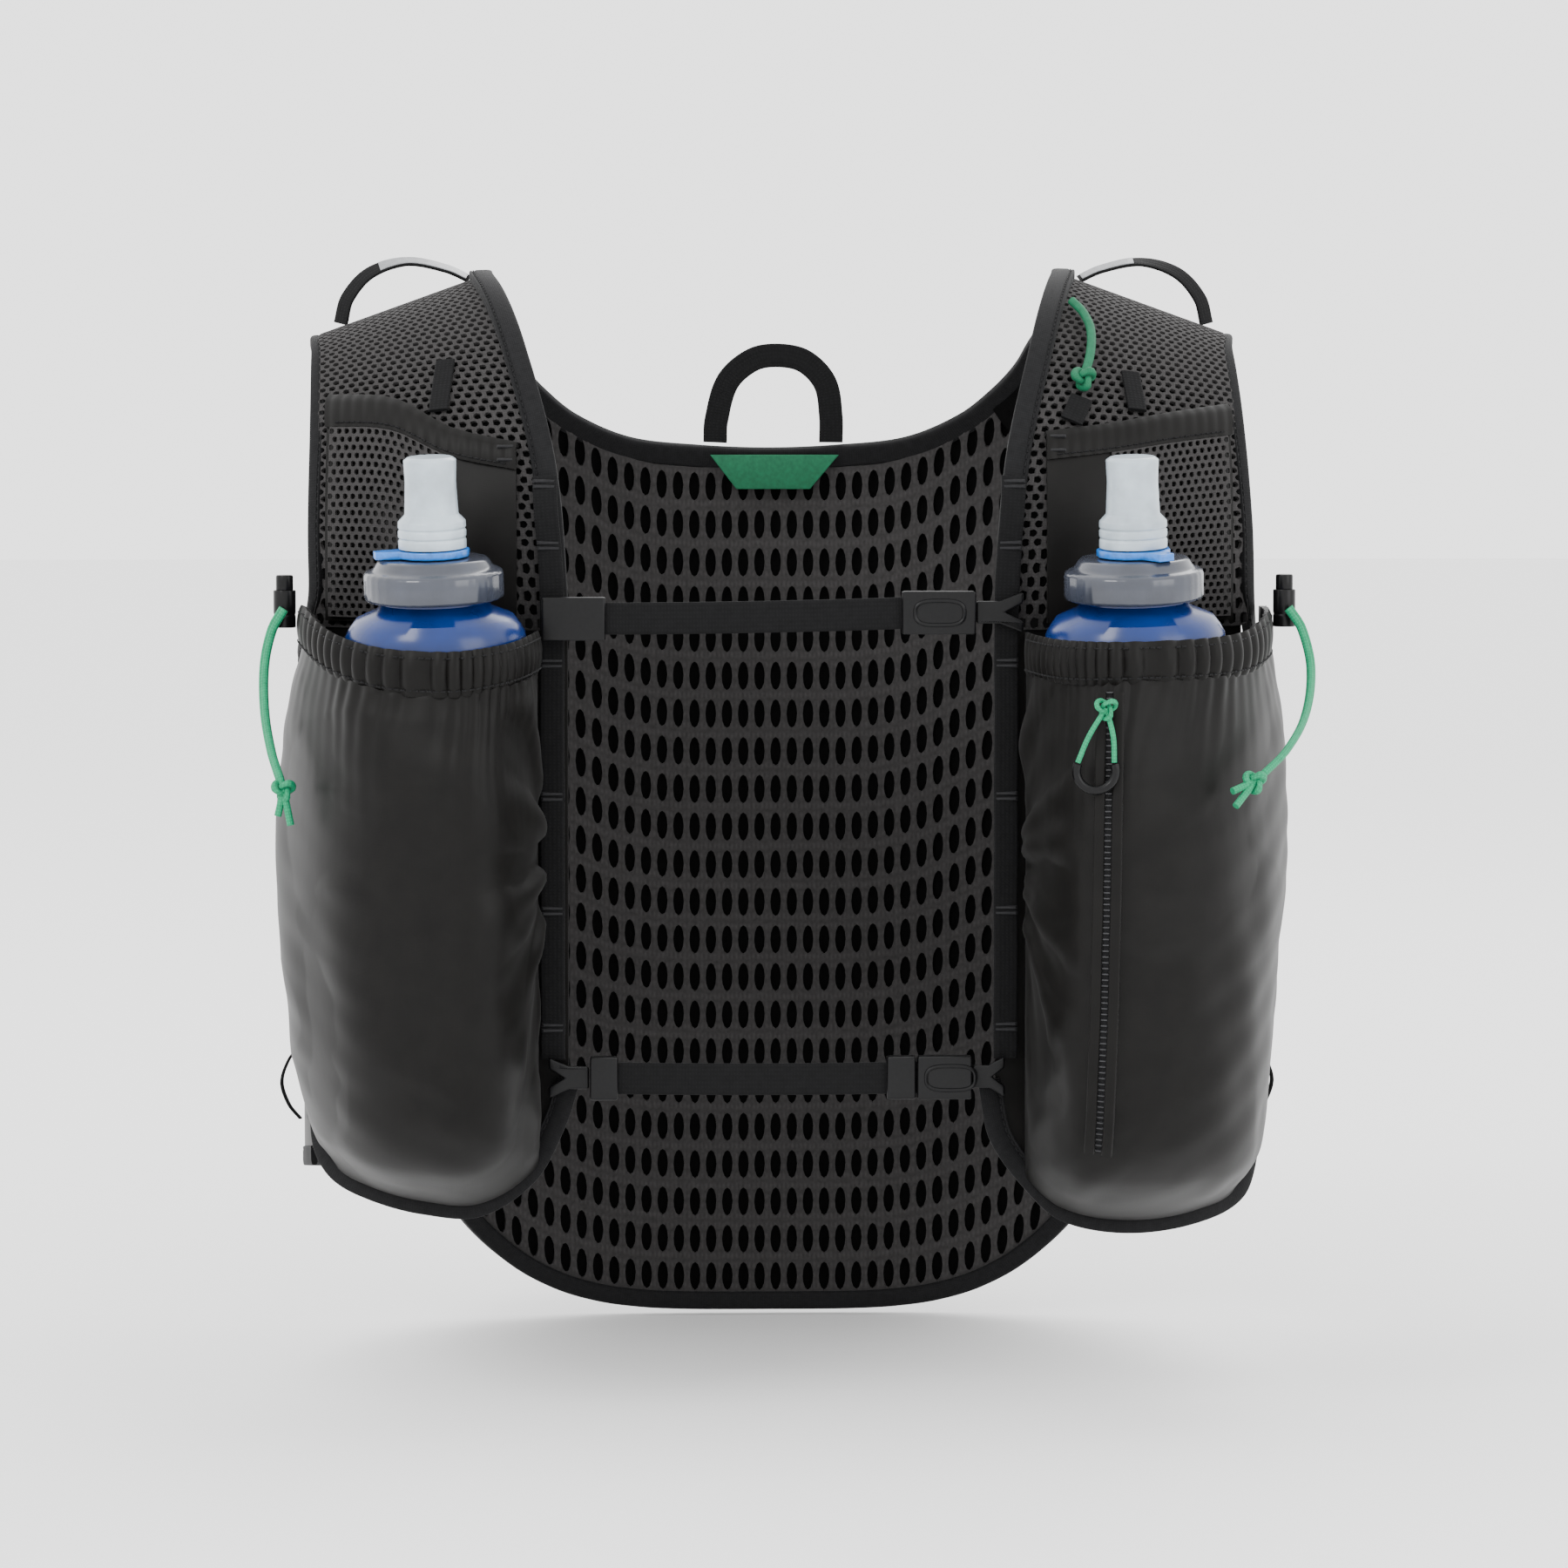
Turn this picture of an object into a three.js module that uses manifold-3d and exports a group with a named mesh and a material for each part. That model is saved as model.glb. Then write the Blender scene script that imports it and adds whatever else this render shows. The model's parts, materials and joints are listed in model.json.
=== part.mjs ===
// Running hydration vest with two soft flasks, in millimetres, +Z up.
// +X is the right of the photograph (the wearer's left), the chest faces -Y.
// The origin is where the vest sits on the shoulders: midway between the two straps,
// on their highest line, at the height of their underside beside the neck.

import * as THREE from 'three';
import { mergeVertices } from 'three/addons/utils/BufferGeometryUtils.js';
import Module from 'manifold-3d';

const wasm = await Module();
wasm.setup();

// Torso that the vest lies on
const TORSO_HALF = 180;
const SIDE_HALF = 165;
const CHEST_DEPTH = 110;
const BACK_DEPTH = 105;
const PLAN_POWER = 3;
const ARMPIT_DROP = 90;
const LOWER_LENGTH = 240;
const NECK_HALF = 111;
const SHOULDER_SLOPE = 0.36;

// Cloth, tape and the gap that neighbouring pieces keep
const GAP = 0.3;
const SEAM_GAP = 1.4;
const ARM_SEAM = 3.3;
const NECK_SEAM = 2.6;
const CLOTH = 2;
const NET = 2.5;
const BACK_NET = 3;
const NECK_TAPE = 8;
const ARM_TAPE = 6;
const HEM_TAPE = 7;
const TAPE_BACK = 1;
const TAPE_FRONT = 3.2;

// Back panel
const NECK_DROP = 60;
const HEM_DROP = 390;
const HEM_RISE = 38;
const BACK_HALF = 131;
const BACK_SHELL_SPACE = 1.8;
const MESH_COLUMNS = 9;
const MESH_ROWS = 8;
const MESH_HOLE_WIDTH = 0.62;
const MESH_HOLE_HEIGHT = 0.74;

// Flask pockets
const MOUTH_DROP = 124;
const POCKET_BOTTOM = 318;
const POCKET_BULGE = 80;
const POCKET_INNER = 85.3;
const POCKET_OUTER = 170;
const POCKET_MIDDLE = 121;
const POCKET_CLOTH = 1.6;
const HEM_PLEATS = 9;
const PLEAT_DEPTH = 1.4;
const RIM_TAPE = 8;

// Flask, valve and cap
const FLASK_WIDTH = 57.8;
const FLASK_DEPTH = 58.5;
const FLASK_LENGTH = 178;
const FLASK_WALL = 1.2;
const FLASK_FORWARD = 143;
const FLASK_SIDE = 119;
const CAP_LEVEL = 107;
const FLASK_TILT = 5.5;
const FLASK_LEAN = 1.5;
const NECK_OUTER = 18;
const NECK_HEIGHT = 8;
const CAP_RADIUS = 23.7;
const CAP_SKIRT = 9.5;
const CAP_TOP = 4.5;
const CAP_TOP_RADIUS = 20.5;
const VALVE_BASE_RADIUS = 11.6;
const VALVE_BASE_HEIGHT = 12;
const VALVE_RADIUS = 9;
const VALVE_HEIGHT = 19;
const LEVER_REACH = 20;
const LEVER_WIDTH = 9;
const LEVER_THICK = 2.6;

// Webbing, straps, buckles and loops
const DAISY_WIDTH = 8.5;
const DAISY_THICK = 1.6;
const STRAP_WIDTH = 11;
const STRAP_THICK = 1.6;
const UPPER_STRAP_DROP = 116;
const LOWER_STRAP_DROP = 276;
const BUCKLE_DEPTH = 5;
const LOOP_WIDTH = 9;
const LOOP_THICK = 1.2;
const RIBBON_WIDTH = 7;
const HANG_HEIGHT = 33;
const HANG_HALF = 24;

// Cords, locks and the zip
const CORD = 2.5;
const SHOULDER_CORD = 3.4;
const KNOT = 8;
const LOCK_RADIUS = 3.9;
const LOCK_LENGTH = 13;
const BUTTON_RADIUS = 3;
const BUTTON_LENGTH = 7;
const ZIP_WIDTH = 9;
const ZIP_THICK = 1.6;
const ZIP_CORD = 1.8;

// Colours, roughness and metalness of the materials
const MATERIALS = {
  nylon: [0x242321, 0.45, 0],
  net: [0x3c3a3a, 0.9, 0],
  tape: [0x37373a, 0.85, 0],
  webbing: [0x1d1c1d, 0.8, 0],
  plastic: [0x151516, 0.4, 0],
  green: [0x2fa877, 0.75, 0],
  flask: [0x0b4796, 0.25, 0],
  cap: [0x4d5360, 0.3, 0],
  valve: [0xc4d3da, 0.35, 0],
  lever: [0x178cdd, 0.35, 0],
};

const V = (x, y, z) => new THREE.Vector3(x, y, z);
const radians = THREE.MathUtils.degToRad;
const lerp = THREE.MathUtils.lerp;
const vest = new THREE.Group();

function add(name, geometry, material, parent = vest) {
  const [color, roughness, metalness] = MATERIALS[material];
  const look = new THREE.MeshStandardMaterial({ color, roughness, metalness });
  const mesh = new THREE.Mesh(geometry, look);
  mesh.name = name;
  parent.add(mesh);
  return mesh;
}

// Torso surface. x runs across, h along the girth: 0 on the shoulder's crest, -1 and +1 at
// armpit height in front and behind, and one more for each LOWER_LENGTH below that.

const crest = (x) => SHOULDER_SLOPE * (NECK_HALF - Math.abs(x));

function torso(x, h) {
  const depth = h < 0 ? -CHEST_DEPTH : BACK_DEPTH;
  const plan = (1 - Math.min(1, Math.abs(x) / TORSO_HALF) ** PLAN_POWER) ** (1 / PLAN_POWER);
  const turn = (Math.min(1, Math.abs(h)) * Math.PI) / 2;
  const rise = (crest(x) + ARMPIT_DROP) * Math.cos(turn);
  const fall = Math.max(0, Math.abs(h) - 1) * LOWER_LENGTH;
  return V(x, depth * plan * Math.sin(turn), rise - ARMPIT_DROP - fall);
}

// The girth coordinate of a height z above x, in front (side -1) or behind (side 1)
function girth(x, z, side) {
  const above = (z + ARMPIT_DROP) / (crest(x) + ARMPIT_DROP);
  if (above <= 0) return side * (1 - (z + ARMPIT_DROP) / LOWER_LENGTH);
  return (side * Math.acos(Math.min(1, above))) / (Math.PI / 2);
}

const onChest = (x, z) => torso(x, girth(x, z, -1));
const onBack = (x, z) => torso(x, girth(x, z, 1));

// Value of a table of [place, value] rows at a place, along a smooth curve
function along(rows, place) {
  let i = 0;
  while (i < rows.length - 2 && place > rows[i + 1][0]) i += 1;
  const [a, b] = [rows[i], rows[i + 1]];
  const before = rows[Math.max(0, i - 1)];
  const after = rows[Math.min(rows.length - 1, i + 2)];
  const span = b[0] - a[0];
  const t = THREE.MathUtils.clamp((place - a[0]) / span, 0, 1);
  const start = ((b[1] - before[1]) / (b[0] - before[0])) * span;
  const end = ((after[1] - a[1]) / (after[0] - a[0])) * span;
  return (2 * t ** 3 - 3 * t ** 2 + 1) * a[1] + (t ** 3 - 2 * t ** 2 + t) * start
    + (3 * t ** 2 - 2 * t ** 3) * b[1] + (t ** 3 - t ** 2) * end;
}

// Solids

function fromTriangles(positions, triangles) {
  const geometry = new THREE.BufferGeometry();
  geometry.setAttribute('position', new THREE.Float32BufferAttribute(positions, 3));
  geometry.setIndex(triangles);
  return geometry;
}

// Turns the faces outward where the enclosed volume is negative
function outward(points, triangles) {
  let volume = 0;
  for (let i = 0; i < triangles.length; i += 3) {
    const [a, b, c] = [0, 1, 2].map((k) => points[triangles[i + k]]);
    volume += a.dot(b.clone().cross(c));
  }
  if (volume < 0) triangles.reverse();
  return fromTriangles(points.flatMap((p) => [p.x, p.y, p.z]), triangles);
}

function rawNormal(point, u, v) {
  const step = 0.004;
  const across = point(Math.min(1, u + step), v).sub(point(Math.max(0, u - step), v));
  const down = point(u, Math.min(1, v + step)).sub(point(u, Math.max(0, v - step)));
  return across.cross(down).normalize();
}

// Unit normal of a surface point(u, v), on the side that faces away from the vest's inside at
// the surface's middle
function normalAt(point, u, v) {
  const out = point(0.5, 0.5).sub(V(0, 0, -ARMPIT_DROP));
  const turned = rawNormal(point, 0.5, 0.5).dot(out) < 0 ? -1 : 1;
  return rawNormal(point, u, v).multiplyScalar(turned);
}

// Cloth over point(u, v), between two heights above it, as one closed sheet
function cloth(point, columns, rows, low, high) {
  const points = [];
  for (const height of [low, high]) {
    for (let j = 0; j <= rows; j += 1) {
      for (let i = 0; i <= columns; i += 1) {
        const [u, v] = [i / columns, j / rows];
        points.push(point(u, v).addScaledVector(normalAt(point, u, v), height));
      }
    }
  }
  const layer = (columns + 1) * (rows + 1);
  const at = (i, j) => j * (columns + 1) + i;
  const triangles = [];
  const quad = (a, b, c, d) => triangles.push(a, b, c, a, c, d);
  for (let j = 0; j < rows; j += 1) {
    for (let i = 0; i < columns; i += 1) {
      const corners = [at(i, j), at(i + 1, j), at(i + 1, j + 1), at(i, j + 1)];
      quad(...corners);
      quad(...corners.map((k) => k + layer).reverse());
    }
  }
  const border = [];
  for (let i = 0; i < columns; i += 1) border.push(at(i, 0));
  for (let j = 0; j < rows; j += 1) border.push(at(columns, j));
  for (let i = columns; i > 0; i -= 1) border.push(at(i, rows));
  for (let j = rows; j > 0; j -= 1) border.push(at(0, j));
  border.forEach((a, k) => {
    const b = border[(k + 1) % border.length];
    quad(b, a, a + layer, b + layer);
  });
  return outward(points, triangles);
}

// Net over point(u, v): a grid of cells, each with one six-sided oval gap cut through
function pierced(point, columns, rows, thickness) {
  const points = [];
  const triangles = [];
  const index = new Map();
  const vertex = (u, v, height) => {
    const key = [u.toFixed(5), v.toFixed(5), height].join(' ');
    if (!index.has(key)) {
      index.set(key, points.length);
      points.push(point(u, v).addScaledVector(normalAt(point, u, v), height));
    }
    return index.get(key);
  };
  const both = (uvs) => {
    const low = uvs.map(([u, v]) => vertex(u, v, 0));
    const high = uvs.map(([u, v]) => vertex(u, v, thickness));
    triangles.push(...low, ...high.reverse());
  };
  const wall = ([u, v], [s, t]) => {
    const [a, b, c, d] = [vertex(u, v, 0), vertex(s, t, 0), vertex(s, t, thickness), vertex(u, v, thickness)];
    triangles.push(b, a, d, b, d, c);
  };
  for (let j = 0; j < rows; j += 1) {
    for (let i = 0; i < columns; i += 1) {
      const [u, v] = [(i + 0.5) / columns, (j + 0.5) / rows];
      const [w, t] = [0.5 / columns, 0.5 / rows];
      const corners = [[-1, -1], [1, -1], [1, 1], [-1, 1]].map(([a, b]) => [u + a * w, v + b * t]);
      const hole = [-150, -90, -30, 30, 90, 150].map((angle) => [
        u + w * MESH_HOLE_WIDTH * Math.cos(radians(angle)) / Math.cos(radians(30)),
        v + t * MESH_HOLE_HEIGHT * Math.sin(radians(angle)),
      ]);
      const [a, b, c, d] = corners;
      const [e, f, g, k, l, m] = hole;
      both([a, f, e]);
      both([a, b, f]);
      both([b, g, f]);
      both([b, k, g]);
      both([b, c, k]);
      both([c, l, k]);
      both([c, d, l]);
      both([d, m, l]);
      both([d, e, m]);
      both([d, a, e]);
      hole.forEach((p, n) => wall(hole[(n + 1) % 6], p));
      if (j === 0) wall(a, b);
      if (i === columns - 1) wall(b, c);
      if (j === rows - 1) wall(c, d);
      if (i === 0) wall(d, a);
    }
  }
  return outward(points, triangles);
}

// Tape along a path of { point, normal } stations: its width runs from one edge to the other
// beside the path, its thickness from low to high along the normal
function tape(path, left, right, low, high, closed = false) {
  const points = [];
  const triangles = [];
  const quad = (a, b, c, d) => triangles.push(a, b, c, a, c, d);
  const count = path.length;
  path.forEach(({ point, normal }, i) => {
    const ahead = path[closed ? (i + 1) % count : Math.min(count - 1, i + 1)].point;
    const behind = path[closed ? (i + count - 1) % count : Math.max(0, i - 1)].point;
    const beside = normal.clone().cross(ahead.clone().sub(behind)).normalize();
    for (const [side, height] of [[left, low], [right, low], [right, high], [left, high]]) {
      points.push(point.clone().addScaledVector(beside, side).addScaledVector(normal, height));
    }
  });
  const spans = closed ? count : count - 1;
  for (let i = 0; i < spans; i += 1) {
    const [a, b] = [4 * i, 4 * ((i + 1) % count)];
    for (let k = 0; k < 4; k += 1) quad(a + k, a + ((k + 1) % 4), b + ((k + 1) % 4), b + k);
  }
  if (!closed) {
    const last = 4 * (count - 1);
    quad(3, 2, 1, 0);
    quad(last, last + 1, last + 2, last + 3);
  }
  return outward(points, triangles);
}

// Stations along a smooth curve through points, with a normal from a function of the point
function stations(points, steps, normal) {
  const curve = new THREE.CatmullRomCurve3(points, false, 'centripetal');
  return curve.getSpacedPoints(steps).map((point) => ({ point, normal: normal(point) }));
}

// Edges of the harness. left and right are shares of NECK_HALF (neck) and STRAP_OUTER (arm).

const STRAP_OUTER = 166;
const NECK_EDGE = [
  { h: -1.12, left: 0.661, right: 0.658 },
  { h: -0.83, left: 0.701, right: 0.694 },
  { h: -0.52, left: 0.798, right: 0.786 },
  { h: -0.145, left: 0.906, right: 0.886 },
  { h: 0, left: 0.919, right: 0.905 },
  { h: 0.33, left: 0.919, right: 0.919 },
  { h: 0.47, left: 0.874, right: 0.874 },
  { h: 0.62, left: 0.793, right: 0.793 },
  { h: 0.735, left: 0.649, right: 0.649 },
];
const ARM_EDGE = [
  { h: -1.08, left: 0.985, right: 0.998 },
  { h: -0.68, left: 0.986, right: 0.985 },
  { h: -0.27, left: 1.0, right: 0.985 },
  { h: 0, left: 1.009, right: 0.999 },
  { h: 0.3, left: 0.97, right: 0.964 },
  { h: 0.6, left: 0.9, right: 0.898 },
  { h: 0.85, left: 0.85, right: 0.85 },
  { h: 1.02, left: 0.84, right: 0.84 },
];
const SIDES = [{ side: -1, hand: 'left' }, { side: 1, hand: 'right' }];
const SEAM_DROP = 128;

const torsoNormal = (p) => {
  const depth = p.y < 0 ? CHEST_DEPTH : BACK_DEPTH;
  const flat = V(Math.sign(p.x) * (Math.abs(p.x) / TORSO_HALF) ** (PLAN_POWER - 1) / TORSO_HALF,
    Math.sign(p.y) * (Math.abs(p.y) / depth) ** (PLAN_POWER - 1) / depth, 0);
  const up = Math.max(0, (p.z + ARMPIT_DROP) / (crest(p.x) + ARMPIT_DROP));
  const level = up * Math.PI / 2;
  return flat.normalize().multiplyScalar(Math.cos(level)).add(V(0, 0, Math.sin(level))).normalize();
};

function edgeStations(rows, hand, side, width, steps) {
  const table = rows.map((row) => [row.h, row[hand] * width]);
  const [first, last] = [rows[0].h, rows[rows.length - 1].h];
  return Array.from({ length: steps + 1 }, (_, i) => {
    const h = lerp(first, last, i / steps);
    return torso(side * along(table, h), h);
  });
}

// Neck tape: up one strap, round the neck and down the other strap
const neckSide = ({ side, hand }) => edgeStations(NECK_EDGE, hand, side, NECK_HALF, 14);
const neckBack = [0.47, 0.24, 0, -0.24, -0.47].map((share) => {
  const x = share * NECK_HALF;
  return onBack(x, -NECK_DROP * (1 - 0.29 * share ** 2));
});
const neckPoints = [...neckSide(SIDES[0]), ...neckBack.map((p) => V(-p.x, p.y, p.z)),
  ...neckSide(SIDES[1]).reverse()];
const neckPath = neckPoints.map((point) => ({ point, normal: torsoNormal(point) }));
add('neck_binding', tape(neckPath, 0, NECK_TAPE, -TAPE_BACK, TAPE_FRONT), 'tape');

// Underarm edge and side seam, as a bow from the chest panel to the back panel
function sideBow(side, share, z) {
  const front = onChest(side * STRAP_OUTER * 0.98, -ARMPIT_DROP);
  const back = onBack(side * BACK_HALF, -ARMPIT_DROP);
  const bow = 4 * share * (1 - share);
  const x = lerp(front.x, back.x, share) + side * bow * (SIDE_HALF - (front.x + back.x) * side * 0.5);
  return V(x, lerp(front.y, back.y, share), z);
}

for (const { side, hand } of SIDES) {
  const over = edgeStations(ARM_EDGE, hand, side, STRAP_OUTER, 20);
  const under = [0.82, 0.6, 0.4, 0.2].map((share) => sideBow(side, share, -SEAM_DROP));
  const path = [
    ...over.map((point) => ({ point, normal: torsoNormal(point) })),
    ...under.map((point) => ({ point, normal: V(side, 0, 0) })),
  ];
  const [left, right] = side < 0 ? [-ARM_TAPE, 0] : [0, ARM_TAPE];
  add(`arm_binding_${hand}`, tape(path, left, right, -TAPE_BACK, TAPE_FRONT, true), 'tape');
}

// Points moved sideways from a path, toward the cloth inside a tape
function shifted(path, distance) {
  return path.map(({ point, normal }, i) => {
    const ahead = path[Math.min(path.length - 1, i + 1)].point;
    const behind = path[Math.max(0, i - 1)].point;
    const beside = normal.clone().cross(ahead.clone().sub(behind)).normalize();
    return point.clone().addScaledVector(beside, distance);
  });
}

// Table of [h, |x|] rows from points on the torso
const girthTable = (points) => points
  .map((p) => [girth(p.x, Math.min(p.z, crest(p.x) - 0.01), p.y < 0 ? -1 : 1), Math.abs(p.x)])
  .sort((a, b) => a[0] - b[0]);

const PANEL_TOP = 120;
const INNER_EDGE = 74;
const OUTER_EDGE = 161.5;
const YOKE_INNER = 0.7;
const YOKE_OUTER = 0.93;

// Net straps over the shoulders, between the neck tape and the arm tape
for (const { side, hand } of SIDES) {
  const station = (point) => ({ point, normal: torsoNormal(point) });
  const neck = edgeStations(NECK_EDGE, hand, side, NECK_HALF, 24).map(station);
  const arm = edgeStations(ARM_EDGE, hand, side, STRAP_OUTER, 24).map(station);
  const inner = girthTable(shifted(neck, -side * (NECK_TAPE + NECK_SEAM)));
  const outer = girthTable(shifted(arm, side * (ARM_TAPE + ARM_SEAM)));
  const start = girth(side * INNER_EDGE, -(PANEL_TOP - 2 * GAP), -1);
  const strap = (u, v) => {
    const h = lerp(start, lerp(YOKE_INNER, YOKE_OUTER, u), v);
    return torso(side * lerp(along(inner, h), along(outer, h), u), h);
  };
  add(`shoulder_${hand}`, cloth(strap, 4, 12, 0, NET), 'net');
}

// Back panel: pierced net with a plain shell behind it, between neck, yoke seam and hem
const hemHeight = (x) => -HEM_DROP + HEM_RISE * (Math.abs(x) / (0.9 * BACK_HALF)) ** 4;
const backTop = [
  [0, -NECK_DROP - NECK_TAPE - GAP],
  [0.3 * BACK_HALF, -NECK_DROP - NECK_TAPE],
  [0.46 * BACK_HALF, -NECK_DROP - 0.5 * NECK_TAPE],
  [0.55 * BACK_HALF, -NECK_DROP - 0.6 * NECK_TAPE],
  [0.78 * BACK_HALF, -NECK_DROP - 1.9 * NECK_TAPE],
  [BACK_HALF, -NECK_DROP - 4.6 * NECK_TAPE],
];
const backPanel = (u, v) => {
  const x = lerp(-BACK_HALF + 1, BACK_HALF - 1, u);
  const slope = (4 * HEM_RISE * Math.abs(x) ** 3) / (0.9 * BACK_HALF) ** 4;
  const low = hemHeight(x) + (HEM_TAPE + 2 * GAP) * Math.hypot(1, slope) + slope;
  return onBack(x, lerp(along(backTop, Math.abs(x)), low, v));
};
add('back_mesh', pierced(backPanel, MESH_COLUMNS, MESH_ROWS, BACK_NET), 'net');
const shellHeight = BACK_NET + BACK_SHELL_SPACE;
add('back_shell', cloth(backPanel, 10, 6, shellHeight, shellHeight + CLOTH), 'nylon');

// Sides under the arms, and the hem tape round back and sides
const SIDE_TOP = [[0, 126], [0.15, 137], [0.85, 137], [1, 130]];
const FRONT_HEM = 310;
const sideHem = (share) => lerp(-FRONT_HEM, hemHeight(BACK_HALF), share);
for (const { side, hand } of SIDES) {
  const panel = (u, v) => {
    const share = lerp(0.02, 0.99, u);
    return sideBow(side, share, lerp(-along(SIDE_TOP, share), sideHem(share) + HEM_TAPE + GAP, v));
  };
  const hung = (u, v) => panel(u, v).add(V(side * GAP, 0, 0));
  add(`side_panel_${hand}`, cloth(hung, 8, 5, 0, CLOTH), 'nylon');
}
const hemSide = (side) => [0.08, 0.25, 0.5, 0.75, 0.97].map((share) => {
  const point = sideBow(side, share, sideHem(share));
  return { point, normal: V(side, lerp(-0.6, 0.9, share), 0).normalize() };
});
const hemBack = Array.from({ length: 17 }, (_, i) => {
  const x = lerp(-BACK_HALF, BACK_HALF, i / 16) * 0.99;
  const point = onBack(x, hemHeight(x));
  return { point, normal: torsoNormal(point) };
});
const hemPath = [...hemSide(-1), ...hemBack, ...hemSide(1).reverse()];
add('hem_binding', tape(hemPath, -HEM_TAPE, 0, -TAPE_BACK, shellHeight + CLOTH), 'tape');

// Chest panels behind the flask pockets, and the tape round their bottom. Heights are shares
// of POCKET_BOTTOM, places across are shares of POCKET_OUTER.
const RIM = {
  left: [
    { x: 0.412, z: 0.87 }, { x: 0.441, z: 0.918 }, { x: 0.502, z: 0.978 }, { x: 0.612, z: 1.018 },
    { x: 0.729, z: 1.018 }, { x: 0.835, z: 1.006 }, { x: 0.912, z: 0.987 }, { x: 0.95, z: 0.955 },
  ],
  right: [
    { x: 0.398, z: 0.87 }, { x: 0.423, z: 0.934 }, { x: 0.497, z: 0.99 }, { x: 0.571, z: 1.025 },
    { x: 0.706, z: 1.041 }, { x: 0.853, z: 1.035 }, { x: 0.95, z: 1.013 }, { x: 0.982, z: 0.965 },
  ],
};
const FOOT_DROP = { left: 1, right: 1.025 };
const PANEL_FOOT = [[0, 0.88], [0.15, 0.94], [0.4, 0.975], [0.7, 0.975], [0.9, 0.955], [1, 0.925]];
for (const { side, hand } of SIDES) {
  const panel = (u, v) => {
    const foot = -POCKET_BOTTOM * FOOT_DROP[hand] * along(PANEL_FOOT, u);
    return onChest(side * lerp(INNER_EDGE, OUTER_EDGE, u), lerp(-PANEL_TOP - 2 * GAP, foot, v));
  };
  add(`front_panel_${hand}`, cloth(panel, 6, 6, 0, CLOTH), 'nylon');
  const lift = CLOTH + GAP + TAPE_BACK;
  const corners = RIM[hand].map(({ x, z }) => {
    const p = onChest(side * x * POCKET_OUTER, -z * POCKET_BOTTOM);
    return p.addScaledVector(torsoNormal(p), lift);
  });
  const path = stations(corners, 14, torsoNormal);
  const [left, right] = side < 0 ? [-RIM_TAPE, 0] : [0, RIM_TAPE];
  add(`pocket_rim_${hand}`, tape(path, left, right, -TAPE_BACK, TAPE_BACK), 'tape');
}

// Flask pockets: level is the share from mouth seam to foot, across runs from the inner seam
// (0) to the outer seam (1); bulge is a share of POCKET_BULGE
const POCKET_LEVELS = [
  { level: 0, bulge: 0.93, left: 0.963, right: 0.985 },
  { level: 0.15, bulge: 0.99, left: 0.995, right: 1.01 },
  { level: 0.35, bulge: 1, left: 1.01, right: 1.02 },
  { level: 0.55, bulge: 0.98, left: 1.005, right: 1.01 },
  { level: 0.75, bulge: 0.88, left: 0.985, right: 1.0 },
  { level: 0.9, bulge: 0.62, left: 0.955, right: 0.985 },
  { level: 1, bulge: 0.07, left: 0.9, right: 0.925 },
];
const POCKET_ENDS = [
  { across: 0, left: [0.965, 1.065], right: [0.97, 1.075], foot: 0.86 },
  { across: 0.12, left: [0.965, 1.07], right: [0.97, 1.075], foot: 0.92 },
  { across: 0.3, left: [0.985, 1.09], right: [0.975, 1.08], foot: 0.96 },
  { across: 0.5, left: [1.0, 1.11], right: [0.975, 1.075], foot: 0.985 },
  { across: 0.7, left: [0.96, 1.06], right: [0.96, 1.065], foot: 0.965 },
  { across: 0.87, left: [0.9, 1.01], right: [0.92, 1.04], foot: 0.945 },
  { across: 1, left: [0.91, 1.0], right: [0.91, 1.03], foot: 0.92 },
];
const POCKET_LIFT = CLOTH + 2 * GAP;
const ROUNDNESS = 0.7;
const columnOf = (rows, key, pick) => rows.map((row) => [row[key], pick(row)]);

function pocketPoint(side, hand, across, level, z, spare) {
  const turn = across * Math.PI;
  const outer = POCKET_OUTER * along(columnOf(POCKET_LEVELS, 'level', (row) => row[hand]), level);
  const end = turn < Math.PI / 2 ? POCKET_INNER : outer;
  const x = lerp(POCKET_MIDDLE, end, Math.abs(Math.cos(turn)) ** ROUNDNESS);
  const share = along(columnOf(POCKET_LEVELS, 'level', (row) => row.bulge), level);
  const rise = Math.sin(Math.min(Math.PI, turn)) ** ROUNDNESS;
  const p = onChest(side * x, z);
  return p.addScaledVector(torsoNormal(p), POCKET_LIFT).add(V(0, -(POCKET_BULGE + spare) * share * rise, 0));
}

for (const { side, hand } of SIDES) {
  const end = (across, k) => MOUTH_DROP * along(columnOf(POCKET_ENDS, 'across', (row) => row[hand][k]), across);
  const foot = (across) => POCKET_BOTTOM * FOOT_DROP[hand] * along(columnOf(POCKET_ENDS, 'across', (row) => row.foot), across);
  const body = (across, v) => {
    return pocketPoint(side, hand, across, v, -lerp(end(across, 1) + SEAM_GAP, foot(across), v), 0);
  };
  add(`flask_pocket_${hand}`, cloth(body, 14, 7, 0, POCKET_CLOTH), 'nylon');
  const hem = (across, v) => {
    const pleat = (1 + Math.sin(across * HEM_PLEATS * 2 * Math.PI)) / 2;
    const puff = PLEAT_DEPTH * pleat * Math.sin(Math.PI * v);
    return pocketPoint(side, hand, across, 0, -lerp(end(across, 0), end(across, 1), v), puff);
  };
  add(`pocket_hem_${hand}`, cloth(hem, 30, 2, 0, POCKET_CLOTH), 'nylon');
}

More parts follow.
